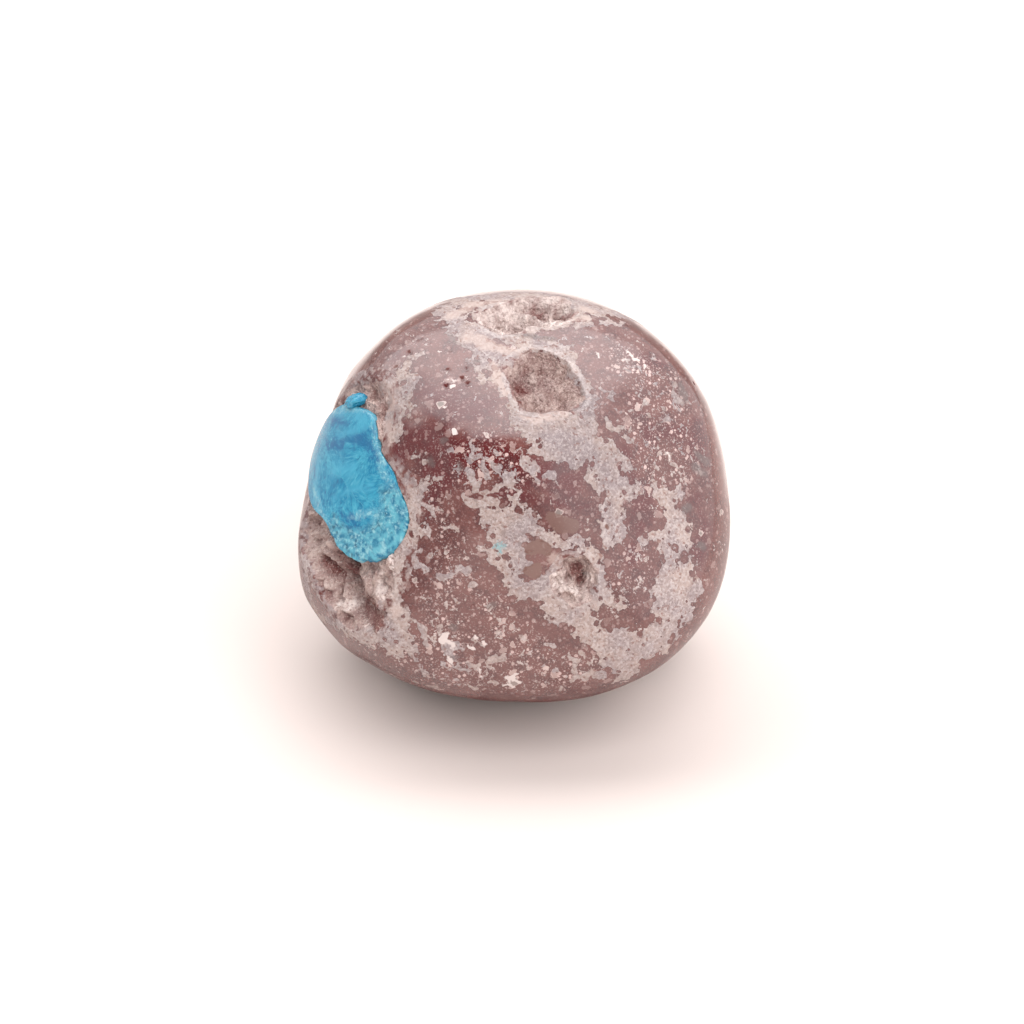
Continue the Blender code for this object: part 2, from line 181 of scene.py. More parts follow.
class Spot:
    """A place on the worn form that points are laid out round, across and up, at a depth."""

    def __init__(self, azimuth, elevation):
        a = math.radians(azimuth)
        self.out = unit(azimuth, elevation)
        self.across = np.array((-math.sin(a), math.cos(a), 0.0))
        self.up = np.cross(self.out, self.across)

    def directions(self, across, up):
        distance = np.maximum(np.hypot(across, up), 1e-9)
        bend = distance / MEAN_RADIUS
        heading = (across[..., None] * self.across + up[..., None] * self.up) / distance[..., None]
        return self.out * np.cos(bend)[..., None] + heading * np.sin(bend)[..., None]

    def coordinates(self, directions):
        """How far across and up along the form each direction lies from this place."""
        across, up = directions @ self.across, directions @ self.up
        sideways = np.maximum(np.hypot(across, up), 1e-9)
        distance = MEAN_RADIUS * np.arctan2(sideways, directions @ self.out)
        return across / sideways * distance, up / sideways * distance

    def place(self, across, up, depth):
        """Points in millimetres from the middle, that deep below the worn form."""
        directions = self.directions(across, up)
        return directions * (worn_radius(directions) - depth)[..., None]


def reach_at(reaches, angle):
    """A smooth closed curve through evenly spaced reaches: cubic pieces that share their slopes."""
    table = np.array(reaches)
    position = angle / math.tau * len(table)
    first = np.floor(position).astype(int)
    share = position - first
    before, here, after, beyond = (table[(first + step) % len(table)] for step in (-1, 0, 1, 2))
    slope, next_slope = (after - before) / 2, (beyond - here) / 2
    rise = after - here
    curve = 3 * rise - 2 * slope - next_slope + share * (slope + next_slope - 2 * rise)
    return here + share * (slope + share * curve)


def wobbly_reach(reaches, angle):
    """The reach at an angle, with a broken rim's small unevenness."""
    ring = np.stack([np.cos(angle), np.sin(angle), np.full_like(angle, sum(reaches))], axis=-1)
    return reach_at(reaches, angle) + RIM_WOBBLE * lattice_noise(ring, RIM_WOBBLE_SPACING, 5)


def polar(across, up):
    """The distance and the angle of places given across and up."""
    return np.hypot(across, up), np.arctan2(up, across)


def from_polar(distance, angle):
    """The places, across and up, at a distance and an angle."""
    return distance * np.cos(angle), distance * np.sin(angle)


# ---------------------------------------------------------------- places on the side that is shown


def seen(points):
    """Where points appear, across and up, at the middle's distance from the camera."""
    scale = CAMERA_DISTANCE / (CAMERA_DISTANCE - points @ TOWARD)
    return points @ RIGHT * scale, points @ UP * scale


RAY_START, RAY_END, RAY_STEP = 17.5, -8.0, -0.03  # millimetres towards the camera


def place_seen(places):
    """The points on the worn form that appear at the given places: steps along the camera's rays."""
    places = np.asarray(places, float)
    aim = places[:, :1] * RIGHT + places[:, 1:2] * UP
    nearness = np.arange(RAY_START, RAY_END, RAY_STEP)
    rays = aim[:, None] * (1 - nearness / CAMERA_DISTANCE)[:, None] + nearness[:, None] * TOWARD
    length = np.linalg.norm(rays, axis=-1)
    outside = length - worn_radius(rays / length[..., None])
    inside = outside < 0
    hit = np.where(inside.any(axis=1), np.argmax(inside, axis=1), np.argmin(outside, axis=1))
    found = rays[np.arange(len(places)), hit]
    directions = found / np.linalg.norm(found, axis=-1)[:, None]
    return directions * worn_radius(directions)[:, None]


OUTSIDE = -9.0  # the depth where no stroke is near


def stroke_depth(points, strokes):
    """How deep inside given strokes each point lies: a half width less the distance from it.

    A stroke is a chain of (across, up, half width), and its width changes evenly between them.
    """
    depth = np.full(len(points), OUTSIDE)
    for stroke in strokes:
        chain = np.array(stroke, float)
        stops = place_seen(chain[:, :2])
        for i in range(max(1, len(chain) - 1)):
            j = min(i + 1, len(chain) - 1)
            span = stops[j] - stops[i]
            along = (points - stops[i]) @ span / max(float(span @ span), 1e-9)
            along = np.clip(along, 0.0, 1.0)
            nearest = stops[i] + along[:, None] * span
            width = chain[i, 2] + along * (chain[j, 2] - chain[i, 2])
            depth = np.maximum(depth, width - np.linalg.norm(points - nearest, axis=1))
    return depth


VEINS = (
    # down from the crown, along the left of the upper hollow, to the patch under it
    ((-5.2, 14.6, 0.9), (-4.2, 13.4, 0.8), (-3.2, 12.3, 0.8), (-2.2, 11.6, 0.7), (-1.0, 11.2, 0.8)),
    ((-2.4, 10.9, 0.35), (-1.6, 9.9, 0.3), (-1.0, 9.3, 0.4), (-0.4, 8.4, 0.35), (0.1, 7.2, 0.4)),
    ((0.1, 7.2, 0.4), (0.5, 6.2, 0.6), (1.0, 5.4, 0.7), (1.3, 4.9, 0.6)),
    ((-2.7, 10.2, 0.3), (-2.2, 9.4, 0.25), (-1.4, 9.4, 0.2)),
    ((-4.6, 12.2, 0.15), (-3.9, 12.6, 0.4)),
    ((-3.7, 10.7, 0.15), (-2.9, 11.2, 0.2)),
    # the crown
    ((-6.0, 15.0, 0.5), (-4.0, 15.4, 0.9), (-1.0, 15.6, 0.9), (2.0, 15.7, 0.8), (5.5, 14.9, 0.8)),
    ((5.0, 14.6, 0.7), (7.0, 14.3, 0.8), (8.6, 13.7, 0.6), (9.8, 13.0, 0.35)),
    ((-5.4, 14.8, 0.5), (-2.6, 14.9, 0.5), (0.0, 15.0, 0.5), (2.4, 15.1, 0.4), (5.0, 15.0, 0.5)),
    ((0.4, 12.2, 0.8), (2.4, 11.9, 0.8), (4.0, 11.4, 0.6), (4.1, 10.7, 0.5), (4.4, 10.0, 0.35)),
    ((2.2, 13.3, 0.25), (4.0, 13.6, 0.2), (6.0, 13.5, 0.15), (8.0, 13.5, 0.2)),
    ((0.0, 13.3, 0.25), (1.6, 13.4, 0.4), (3.2, 13.9, 0.45), (5.0, 14.2, 0.5)),
    ((-3.8, 13.3, 0.5), (-2.0, 12.9, 0.5), (-0.6, 12.7, 0.6), (0.2, 12.2, 0.6)),
    # right of the upper hollow
    ((4.5, 9.8, 0.3), (4.8, 9.2, 0.35), (5.2, 8.6, 0.6), (5.4, 7.6, 0.65), (5.5, 6.8, 0.5)),
    # the patch under the upper hollow
    ((1.2, 5.7, 1.0), (2.6, 5.6, 1.2), (4.4, 5.8, 1.2), (5.4, 5.6, 0.9)),
    ((3.0, 4.2, 0.9), (4.2, 4.2, 1.1), (5.4, 4.4, 1.1), (6.4, 4.4, 0.7)),
    ((6.2, 4.3, 0.8), (7.0, 4.2, 0.6), (7.5, 3.6, 0.6)),
    ((1.4, 5.0, 0.6), (1.5, 4.4, 0.35), (1.9, 4.0, 0.3)),
    ((7.1, 6.1, 0.25), (7.3, 5.7, 0.3), (8.0, 5.5, 0.15), (8.4, 5.0, 0.25), (8.7, 4.7, 0.12)),
    # down the right of the middle
    ((6.6, 3.4, 0.6), (7.0, 2.8, 0.9), (6.8, 2.1, 0.9), (7.6, 1.6, 0.8)),
    ((5.5, 2.2, 0.2), (6.0, 1.7, 0.4), (6.6, 1.5, 0.5)),
    ((7.6, 2.7, 0.5), (8.4, 2.9, 0.4), (8.8, 3.0, 0.15)),
    ((7.9, 1.8, 0.5), (8.5, 1.3, 0.55), (9.1, 1.0, 0.35)),
    ((7.5, 1.0, 0.7), (7.4, 0.0, 0.75), (7.3, -0.9, 0.85), (7.5, -1.7, 0.9), (7.7, -2.3, 0.6)),
    ((7.0, -2.0, 0.4), (6.8, -2.8, 0.25), (6.9, -3.3, 0.12)),
    # the right-hand patches
    ((10.3, 1.9, 0.12), (10.6, 1.3, 0.3), (11.2, 0.8, 0.5), (11.8, 0.8, 0.5), (12.3, 1.3, 0.3)),
    ((11.6, 0.4, 0.6), (11.8, -0.6, 0.8), (12.2, -1.5, 0.9), (12.3, -2.3, 0.9)),
    ((11.2, -2.2, 0.4), (10.3, -2.4, 0.2), (9.4, -2.6, 0.15)),
    ((12.5, -2.8, 0.5), (13.4, -2.8, 0.2)),
    ((11.0, -3.0, 0.4), (11.5, -3.8, 0.5), (11.6, -4.6, 0.6)),
    ((11.3, -5.6, 0.8), (12.3, -5.2, 0.9), (13.0, -4.6, 0.5)),
    ((11.4, -6.2, 1.1), (12.6, -6.2, 1.1), (13.4, -6.4, 0.8)),
    ((10.7, -7.2, 0.6), (11.8, -7.6, 1.2), (12.8, -7.6, 0.8)),
    ((11.6, -9.0, 0.9), (10.6, -9.4, 0.9), (10.6, -10.2, 0.7), (11.3, -10.5, 0.4)),
    ((9.9, -9.6, 0.5), (9.9, -10.8, 0.6), (9.0, -11.2, 0.6)),
    # the middle patch
    ((-1.5, -0.6, 0.8), (-0.6, -1.6, 1.1), (-0.6, -2.7, 1.1), (0.2, -3.6, 0.7), (0.2, -4.6, 0.7)),
    ((0.0, -0.9, 0.3), (0.7, -1.3, 0.7), (0.3, -2.4, 0.7)),
    ((0.8, -0.3, 0.3), (1.3, -1.1, 0.5), (1.6, -1.9, 0.4), (2.6, -2.4, 0.35), (3.4, -2.7, 0.4)),
    ((-0.2, -0.4, 0.2), (0.1, 0.6, 0.25), (0.1, 1.6, 0.2), (-0.4, 2.1, 0.2), (-1.0, 2.8, 0.3)),
    ((-1.8, -3.4, 0.4), (-1.0, -3.9, 0.4), (-0.6, -4.7, 0.4), (-0.1, -5.4, 0.7), (0.4, -6.3, 0.7)),
    ((0.4, -6.4, 0.6), (1.4, -6.4, 0.6), (2.2, -5.6, 0.5), (2.5, -6.8, 0.6), (2.8, -7.6, 0.6)),
    ((2.8, -8.2, 0.35), (3.8, -8.0, 0.7), (5.2, -8.3, 0.9), (5.6, -9.2, 0.8)),
    ((3.2, -2.9, 0.35), (4.6, -2.7, 0.5), (5.4, -3.2, 0.4), (5.9, -3.9, 0.4), (6.1, -4.9, 0.35)),
    ((6.1, -4.9, 0.3), (6.4, -5.8, 0.4), (6.8, -6.6, 0.4), (7.6, -7.3, 0.3), (8.2, -7.6, 0.2)),
    ((3.0, -7.3, 0.4), (4.6, -7.3, 0.4), (6.0, -7.0, 0.5)),
    ((4.8, -9.5, 0.4), (6.0, -9.8, 0.6), (7.4, -10.0, 0.9), (8.6, -10.0, 0.9), (9.2, -10.6, 0.8)),
    ((7.4, -11.2, 0.9), (8.2, -11.9, 0.9), (8.6, -12.5, 0.6), (7.8, -12.9, 0.3)),
    # round the cavansite
    ((-6.8, 1.4, 0.4), (-7.4, 0.9, 0.5), (-7.6, 0.0, 0.5), (-7.5, -1.0, 0.5), (-7.4, -1.9, 0.5)),
    ((-7.0, -1.9, 0.45), (-6.4, -1.9, 0.2)),
    ((-7.9, -2.4, 0.4), (-8.4, -3.3, 0.35), (-8.7, -4.4, 0.4), (-8.8, -5.8, 0.35), (-8.7, -7.2, 0.35)),
    ((-8.6, -8.0, 0.5), (-8.1, -8.5, 0.5), (-8.4, -9.4, 0.7), (-8.0, -10.4, 0.5), (-7.6, -11.1, 0.3)),
    (
        (-15.5, -4.2, 0.3), (-15.0, -6.3, 0.45), (-14.2, -7.8, 0.45),
        (-13.0, -8.9, 0.4), (-11.6, -9.7, 0.4),
    ),
    ((-11.6, -9.7, 0.4), (-10.2, -9.9, 0.4), (-9.3, -9.3, 0.45), (-8.8, -8.6, 0.5)),
    ((-10.2, -9.9, 0.4), (-9.0, -10.6, 0.5), (-8.0, -10.8, 0.4)),
    ((-8.6, 5.2, 0.3), (-8.5, 6.4, 0.35), (-8.1, 7.4, 0.4), (-7.8, 8.6, 0.5), (-7.8, 9.6, 0.4)),
    ((-8.6, 10.2, 0.2), (-8.0, 10.6, 0.25), (-7.4, 11.0, 0.2), (-7.1, 11.3, 0.12)),
    ((-8.2, 9.9, 0.3), (-7.4, 9.4, 0.35)),
)
LACE = (  # fine threads and small amygdales
    # the lace at the left of the middle
    ((-3.2, 4.9, 0.1), (-3.1, 4.2, 0.14), (-3.2, 3.4, 0.2), (-2.6, 3.8, 0.12)),
    ((-3.4, 2.6, 0.25), (-3.1, 1.9, 0.3), (-2.9, 1.4, 0.3), (-2.5, 1.7, 0.15)),
    ((-2.4, 3.3, 0.16), (-2.3, 2.7, 0.16), (-2.1, 2.3, 0.25), (-1.8, 2.1, 0.12)),
    ((-2.0, 3.5, 0.1), (-1.6, 3.1, 0.14), (-1.2, 2.9, 0.16), (-0.8, 2.5, 0.12), (-0.2, 2.0, 0.14)),
    ((-3.8, 0.7, 0.2), (-3.2, 0.2, 0.3), (-2.4, 0.3, 0.3), (-1.4, 0.2, 0.35)),
    ((-2.4, 1.0, 0.12), (-1.6, 1.1, 0.12), (-1.0, 1.5, 0.1)),
    ((-1.6, 4.3, 0.07), (-1.4, 3.9, 0.09)),
    ((0.5, 3.2, 0.12), (0.8, 2.9, 0.25), (1.2, 2.6, 0.12), (1.6, 2.1, 0.12), (1.9, 1.5, 0.08)),
    ((0.9, 3.4, 0.25), (1.4, 3.1, 0.25), (1.8, 2.6, 0.1)),
    ((2.4, 2.3, 0.3), (2.9, 2.3, 0.25)),
    # small amygdales
    ((-7.4, -3.9, 0.2), (-7.2, -4.4, 0.3), (-6.7, -4.7, 0.25)),
    ((-6.4, -3.8, 0.12), (-6.1, -3.4, 0.1)),
    ((-5.6, -5.3, 0.25), (-5.0, -5.3, 0.15), (-4.3, -5.0, 0.12), (-4.3, -4.6, 0.12)),
    ((-4.3, -4.5, 0.12), (-3.7, -4.8, 0.25), (-3.1, -4.6, 0.2)),
    ((-7.4, -3.4, 0.1), (-7.0, -3.3, 0.05)),
    ((-5.9, -8.8, 0.12), (-5.5, -9.0, 0.25)),
    ((-7.0, -9.0, 0.25), (-6.8, -9.6, 0.2), (-6.5, -10.4, 0.25)),
    ((-7.0, 3.7, 0.1), (-6.7, 3.3, 0.18)),
    ((-7.6, 3.7, 0.05), (-7.1, 3.5, 0.1)),
    ((-4.9, 4.0, 0.12), (-4.6, 4.1, 0.1)),
    ((7.3, 8.4, 0.28), (7.2, 8.1, 0.25)),
    ((6.3, 8.8, 0.05), (7.0, 8.5, 0.14)),
    ((7.4, 7.3, 0.05), (8.0, 7.05, 0.05), (8.6, 7.1, 0.0), (9.0, 7.2, -0.02)),
    ((9.5, 7.3, -0.03), (9.8, 7.9, -0.02), (9.4, 8.6, -0.02), (9.6, 9.0, 0.0)),
    ((9.9, 8.4, 0.05), (10.3, 8.2, 0.04)),
    ((11.9, 9.4, 0.12), (11.7, 8.4, 0.2), (11.9, 7.9, 0.25), (12.5, 7.6, 0.15)),
    ((11.0, 6.2, 0.06), (11.2, 6.6, 0.06), (11.6, 6.5, 0.06)),
    ((11.3, 3.8, 0.2), (11.6, 3.6, 0.25)),
    ((11.8, 3.1, 0.12), (12.2, 2.8, 0.12)),
    ((10.2, 4.0, 0.07), (10.6, 3.9, 0.07), (11.0, 3.8, 0.05)),
    ((12.4, 1.9, 0.1), (12.8, 1.6, 0.08)),
    # the underside of the shown side
    ((-5.2, -10.1, 0.25), (-4.5, -10.4, 0.3), (-3.9, -10.7, 0.2)),
    ((-4.3, -12.0, 0.1), (-3.4, -12.3, 0.18), (-2.6, -11.9, 0.12)),
    ((-2.0, -11.6, 0.15), (-1.6, -11.4, 0.35), (-0.9, -11.3, 0.3)),
    ((-3.4, -13.4, 0.15), (-2.8, -13.6, 0.2)),
    ((-1.9, -13.1, 0.12), (-1.5, -13.3, 0.18)),
    ((-6.2, -13.4, 0.15), (-5.6, -13.6, 0.2)),
    ((-1.4, -9.3, 0.15), (-0.9, -9.5, 0.12)),
    ((-5.0, -12.0, 0.25), (-5.3, -11.8, 0.2)),
    ((-7.0, -12.2, 0.15), (-6.6, -12.7, 0.25)),
    ((4.2, -13.1, 0.15), (4.8, -12.7, 0.25), (5.8, -12.5, 0.35), (6.6, -12.6, 0.4)),
    ((3.5, -13.3, 0.12), (3.4, -13.7, 0.1)),
    ((-8.4, -9.2, 0.2), (-8.0, -10.0, 0.3), (-7.6, -11.2, 0.25)),
    ((-7.0, -9.1, 0.14), (-6.8, -9.3, 0.1)),
    ((-5.2, -10.6, 0.15), (-4.7, -11.2, 0.2), (-4.2, -11.7, 0.1)),
    ((-3.1, -9.9, 0.12), (-2.4, -10.4, 0.12), (-1.8, -10.9, 0.1)),
    ((-3.6, -11.7, 0.12), (-3.0, -12.1, 0.2), (-2.4, -12.4, 0.12)),
    ((-7.0, -11.9, 0.12), (-6.6, -12.6, 0.15)),
    ((4.0, -11.0, 0.1), (4.6, -11.6, 0.12), (4.4, -12.3, 0.1), (5.2, -12.9, 0.12)),
    ((4.9, -10.9, 0.12), (5.5, -11.6, 0.1), (5.9, -12.4, 0.12)),
    ((2.2, -10.4, 0.06), (2.6, -10.2, 0.1), (3.0, -10.5, 0.06)),
    ((1.7, -11.6, 0.06), (2.1, -11.9, 0.1)),
    ((8.5, 9.2, 0.03), (9.0, 8.7, 0.02), (9.1, 8.2, 0.02)),
    ((9.9, 6.9, 0.03), (10.4, 6.3, 0.06), (10.3, 5.6, 0.03)),
    ((10.8, 7.5, 0.03), (11.2, 7.1, 0.06)),
    ((10.4, 3.1, 0.1), (10.9, 2.6, 0.15)),
    ((8.0, 10.2, 0.02), (8.6, 10.0, 0.03)),
    ((-6.4, 2.2, 0.1), (-5.8, 2.0, 0.15), (-5.3, 2.3, 0.1)),
    ((-6.8, 0.2, 0.12), (-6.2, -0.2, 0.2), (-6.0, -0.8, 0.1)),
    ((-5.2, -1.6, 0.1), (-4.6, -1.4, 0.12), (-4.2, -1.8, 0.1)),
    ((-3.4, -6.0, 0.06), (-2.9, -5.8, 0.1)),
    ((-4.6, -6.8, 0.1), (-4.2, -7.2, 0.08)),
    ((-1.6, -8.2, 0.06), (-1.2, -8.5, 0.1), (-0.7, -8.3, 0.06)),
    ((0.4, -9.6, 0.08), (0.8, -9.9, 0.1)),
)
CREAMS = (  # where the zeolite is bleached to cream
    ((-9.4, 9.0, 0.4), (-9.2, 7.6, 0.5), (-9.4, 6.0, 0.4), (-9.3, 4.8, 0.25)),
    ((-9.1, 3.6, -0.1), (-8.8, 2.6, -0.05), (-7.8, 1.4, 0.2), (-7.2, -0.4, 0.3)),
    ((-9.3, -3.6, 0.25), (-9.0, -5.0, 0.3), (-8.9, -6.6, 0.35), (-8.8, -8.0, 0.3)),
    ((-10.4, -5.4, 0.3), (-10.2, -6.4, 0.4), (-9.8, -7.2, 0.25)),
    ((-13.4, -7.4, 0.3), (-12.4, -7.8, 0.35), (-11.6, -8.6, 0.35), (-10.6, -9.6, 0.3)),
    ((2.9, -3.7, 0.3), (3.0, -4.8, 0.4), (3.4, -5.9, 0.45), (4.6, -6.5, 0.35)),
    ((5.7, -5.3, 0.2), (5.4, -6.1, 0.3)),
    ((-3.4, 12.6, 0.5), (-1.4, 11.8, 0.5), (0.4, 11.4, 0.3)),
    ((-4.6, 14.2, 0.5), (-3.0, 15.0, 0.5), (0.2, 15.3, 0.4)),
    ((-1.6, 12.9, 0.3), (0.4, 13.2, 0.35), (2.4, 13.5, 0.3), (5.4, 13.9, 0.3)),
    ((3.0, 14.9, 0.3), (4.4, 14.9, 0.3), (5.6, 14.5, 0.35)),
    ((1.0, 14.5, 0.2), (2.6, 14.2, 0.25), (3.2, 13.9, 0.2)),
    ((2.6, 15.0, 0.2), (3.6, 14.5, 0.15)),
    ((-1.6, 10.4, 0.4), (-1.2, 9.4, 0.4), (-0.6, 8.4, 0.25)),
    ((0.6, 6.9, 0.3), (2.0, 6.6, 0.35), (3.6, 6.9, 0.2)),
)
CYANS = (  # a trace of cavansite in the middle patch
    ((-1.4, -3.0, 0.08), (-0.8, -3.1, 0.18)),
    ((-1.1, -2.8, 0.1), (-1.0, -3.4, 0.08)),
)
FLAKES = (  # bright white crystals
    ((-5.9, -9.7, 0.12), (-5.4, -9.9, 0.25), (-4.9, -9.6, 0.18)),
    ((-5.0, -10.1, 0.15), (-4.5, -10.4, 0.15)),
    ((-4.9, -11.2, 0.12), (-4.7, -11.6, 0.14)),
    ((-2.6, -12.2, 0.08), (-2.5, -12.7, 0.08)),
    ((-3.5, -10.4, 0.08), (-3.0, -10.7, 0.1)),
    ((-3.0, -9.7, 0.08), (-2.5, -10.0, 0.1), (-2.1, -10.3, 0.12)),
    ((-0.7, -12.8, 0.08), (-0.1, -12.8, 0.12), (0.1, -12.5, 0.12)),
    ((0.0, -12.9, 0.1), (0.4, -13.2, 0.08)),
    ((-0.8, -13.4, 0.06), (0.0, -13.4, 0.06)),
    ((-4.9, 9.4, 0.12), (-4.5, 9.3, 0.16)),
    ((-4.7, 8.9, 0.12), (-4.6, 8.9, 0.1)),
    ((-5.6, 11.5, 0.08), (-5.4, 11.5, 0.08)),
    ((8.5, 11.4, 0.0), (8.8, 10.9, -0.03), (9.4, 10.7, 0.0)),
    ((7.7, 11.2, 0.1), (7.9, 11.4, 0.1)),
    ((6.1, 11.3, 0.08), (6.2, 11.1, 0.1)),
    ((9.5, 10.6, 0.06), (9.6, 10.4, 0.08)),
    ((-5.3, 7.4, 0.08), (-5.2, 7.5, 0.08)),
    ((-4.5, 5.5, 0.12), (-4.3, 5.2, 0.08)),
    ((2.6, -5.5, 0.1), (2.6, -5.8, 0.12)),
    ((11.4, 3.9, 0.08), (11.6, 3.5, 0.1)),
)
CLASTS = (  # olive-brown fragments of older rock
    ((1.2, -3.2, 0.45), (1.8, -3.0, 0.5), (2.4, -3.3, 0.4)),
    ((1.0, -4.9, 0.35), (1.5, -5.0, 0.5), (1.7, -4.6, 0.4)),
    ((2.8, -0.9, 0.5), (3.6, -1.4, 0.7), (4.4, -1.5, 0.5)),
    ((6.9, -1.5, 0.15), (7.0, -1.6, 0.15)),
)
STAINS = (  # dark grey-green spots
    ((-2.0, -7.5, 0.15), (-1.5, -7.3, 0.2)),
    ((-4.6, -9.0, 0.2), (-4.5, -9.1, 0.25)),
    ((-4.8, -11.3, 0.15), (-4.4, -11.3, 0.2)),
    ((-5.3, 4.9, 0.25), (-5.1, 5.0, 0.2)),
    ((-6.3, 3.3, 0.3), (-6.1, 3.1, 0.2)),
    ((-4.1, 3.2, 0.15), (-4.0, 2.8, 0.3)),
    ((12.2, 8.9, 0.25), (12.5, 8.2, 0.45), (12.7, 7.7, 0.2)),
    ((13.4, 4.1, 0.15), (13.9, 3.6, 0.3), (14.3, 3.3, 0.35)),
    ((13.4, 2.9, 0.3), (13.8, 2.6, 0.35), (14.2, 2.4, 0.25)),
    ((13.8, -2.9, 0.25), (14.1, -3.1, 0.25)),
    ((12.7, -0.2, 0.3), (13.0, -0.1, 0.3)),
    ((0.0, 12.75, 0.12), (1.4, 12.65, 0.2), (3.0, 12.45, 0.2)),
    ((-2.9, 10.8, 0.15), (-2.7, 10.8, 0.15)),
    ((-4.9, 12.7, 0.1), (-4.6, 12.5, 0.25), (-4.5, 12.2, 0.15)),
)
REDS = (  # where the rock is darkest red: its red stain, with painted shade along the band that reflects the dark ceiling in front
    ((-8.4, 4.9, 1.2), (-6.4, 4.2, 1.8), (-4.8, 3.2, 1.5), (-5.6, 1.6, 1.0), (-6.4, -0.6, 0.6)),
    ((-4.4, 4.4, 1.1), (-2.2, 4.2, 1.2), (-0.2, 3.6, 1.1), (1.2, 3.2, 1.0)),
    ((0.8, 2.2, 1.0), (2.4, 2.0, 1.2), (4.6, 1.6, 1.1), (5.2, 3.0, 0.7)),
    ((-1.0, 1.2, 0.5), (2.0, 0.4, 0.5), (5.4, 0.0, 0.6)),
    ((8.2, 4.4, 0.7), (8.8, 2.4, 0.6), (9.6, 0.2, 0.9), (9.2, -1.8, 0.9), (8.6, -3.6, 0.7)),
    ((9.0, 6.8, 0.8), (10.6, 5.4, 0.8), (12.0, 5.6, 0.7), (13.2, 5.8, 0.8), (13.6, 3.2, 0.5)),
    ((13.4, 0.4, 0.6), (14.2, -1.4, 0.7), (13.6, -3.6, 0.5)),
    ((-8.6, 11.6, 0.5), (-7.2, 12.4, 0.3)),
    ((-7.0, 8.6, 1.0), (-4.6, 7.6, 1.4), (-2.6, 7.4, 1.2)),
    ((7.4, 12.0, 0.2), (9.4, 10.6, 0.5), (10.8, 10.4, 0.5)),
)
FLOCKS = (  # where the pale specks are crowded
    ((8.0, 11.0, 1.0), (10.6, 9.0, 1.4), (12.0, 6.0, 1.4), (12.6, 3.0, 1.0)),
    ((-9.4, -10.0, 0.8), (-6.0, -12.2, 1.2), (-2.0, -12.6, 1.2), (3.0, -12.8, 1.2), (7.0, -12.0, 0.8)),
    ((10.0, 9.0, 1.2), (10.4, 6.4, 1.6), (10.0, 3.6, 1.4), (10.2, 1.0, 0.8)),
    ((-6.6, 1.6, 0.5), (-5.4, -1.0, 0.5), (-4.6, -4.0, 0.7), (-5.6, -7.0, 0.8), (-5.0, -10.0, 1.7)),
    ((-3.0, -6.0, 0.5), (-1.0, -9.0, 1.0), (1.6, -11.4, 1.6), (3.6, -12.6, 1.0)),
    ((-3.4, 3.0, 1.6), (-1.6, 3.4, 1.4), (0.4, 2.0, 0.9)),
    ((-8.0, -10.0, 0.8), (-6.0, -12.0, 0.8), (-2.0, -13.0, 0.6)),
    ((8.0, -6.0, 1.0), (9.2, -4.0, 1.0)),
)
VESICLES = (  # across, up and radius of small gas bubbles cut open by wear
    (-7.8, 11.4, 0.2), (-8.8, 10.3, 0.16), (-8.8, 13.0, 0.14), (-6.7, 13.2, 0.14), (-4.8, 11.6, 0.16),
    (-5.0, 10.1, 0.16), (-4.7, 10.0, 0.12), (-3.6, 10.2, 0.16), (-3.9, 9.5, 0.18), (-3.5, 9.1, 0.18),
    (-5.1, 8.9, 0.18), (-7.0, 12.5, 0.12), (-6.3, 12.2, 0.1), (-3.2, -6.6, 0.12), (-3.1, -7.3, 0.12),
    (0.8, -11.2, 0.14), (-8.0, 10.1, 0.12), (0.9, 6.2, 0.1), (14.4, 0.4, 0.14), (10.1, 11.0, 0.16),
    (10.5, 11.0, 0.14), (13.2, 9.0, 0.12), (-6.0, -7.8, 0.12), (9.3, -2.6, 0.1), (12.0, -1.2, 0.16),
    (11.8, -4.4, 0.14), (7.1, -1.5, 0.16), (1.3, 10.1, 0.1),
)


BELL_BLEND = 6  # the higher, the more sharply a stroke's parts meet


def carved(points, strokes):
    """How much deeper the crust is carved where it appears under strokes: a bell across each stroke.

    A stroke is a depth, negative to raise, and a chain of (across, up, half width). Its parts' bells
    are blended: the sixth root of the sum of their sixth powers.
    """
    across, up = seen(points)
    total = np.zeros(across.shape)
    for depth, chain in strokes:
        bell = np.zeros(across.shape)
        for start, end in zip(chain, chain[1:]):
            span_across, span_up = end[0] - start[0], end[1] - start[1]
            along = (across - start[0]) * span_across + (up - start[1]) * span_up
            along = np.clip(along / (span_across**2 + span_up**2), 0.0, 1.0)
            aside = np.hypot(across - start[0] - along * span_across, up - start[1] - along * span_up)
            width = start[2] + along * (end[2] - start[2])
            bell += np.exp(-BELL_BLEND * (aside / width) ** 2)
        total += depth * bell ** (1 / BELL_BLEND)
    return total


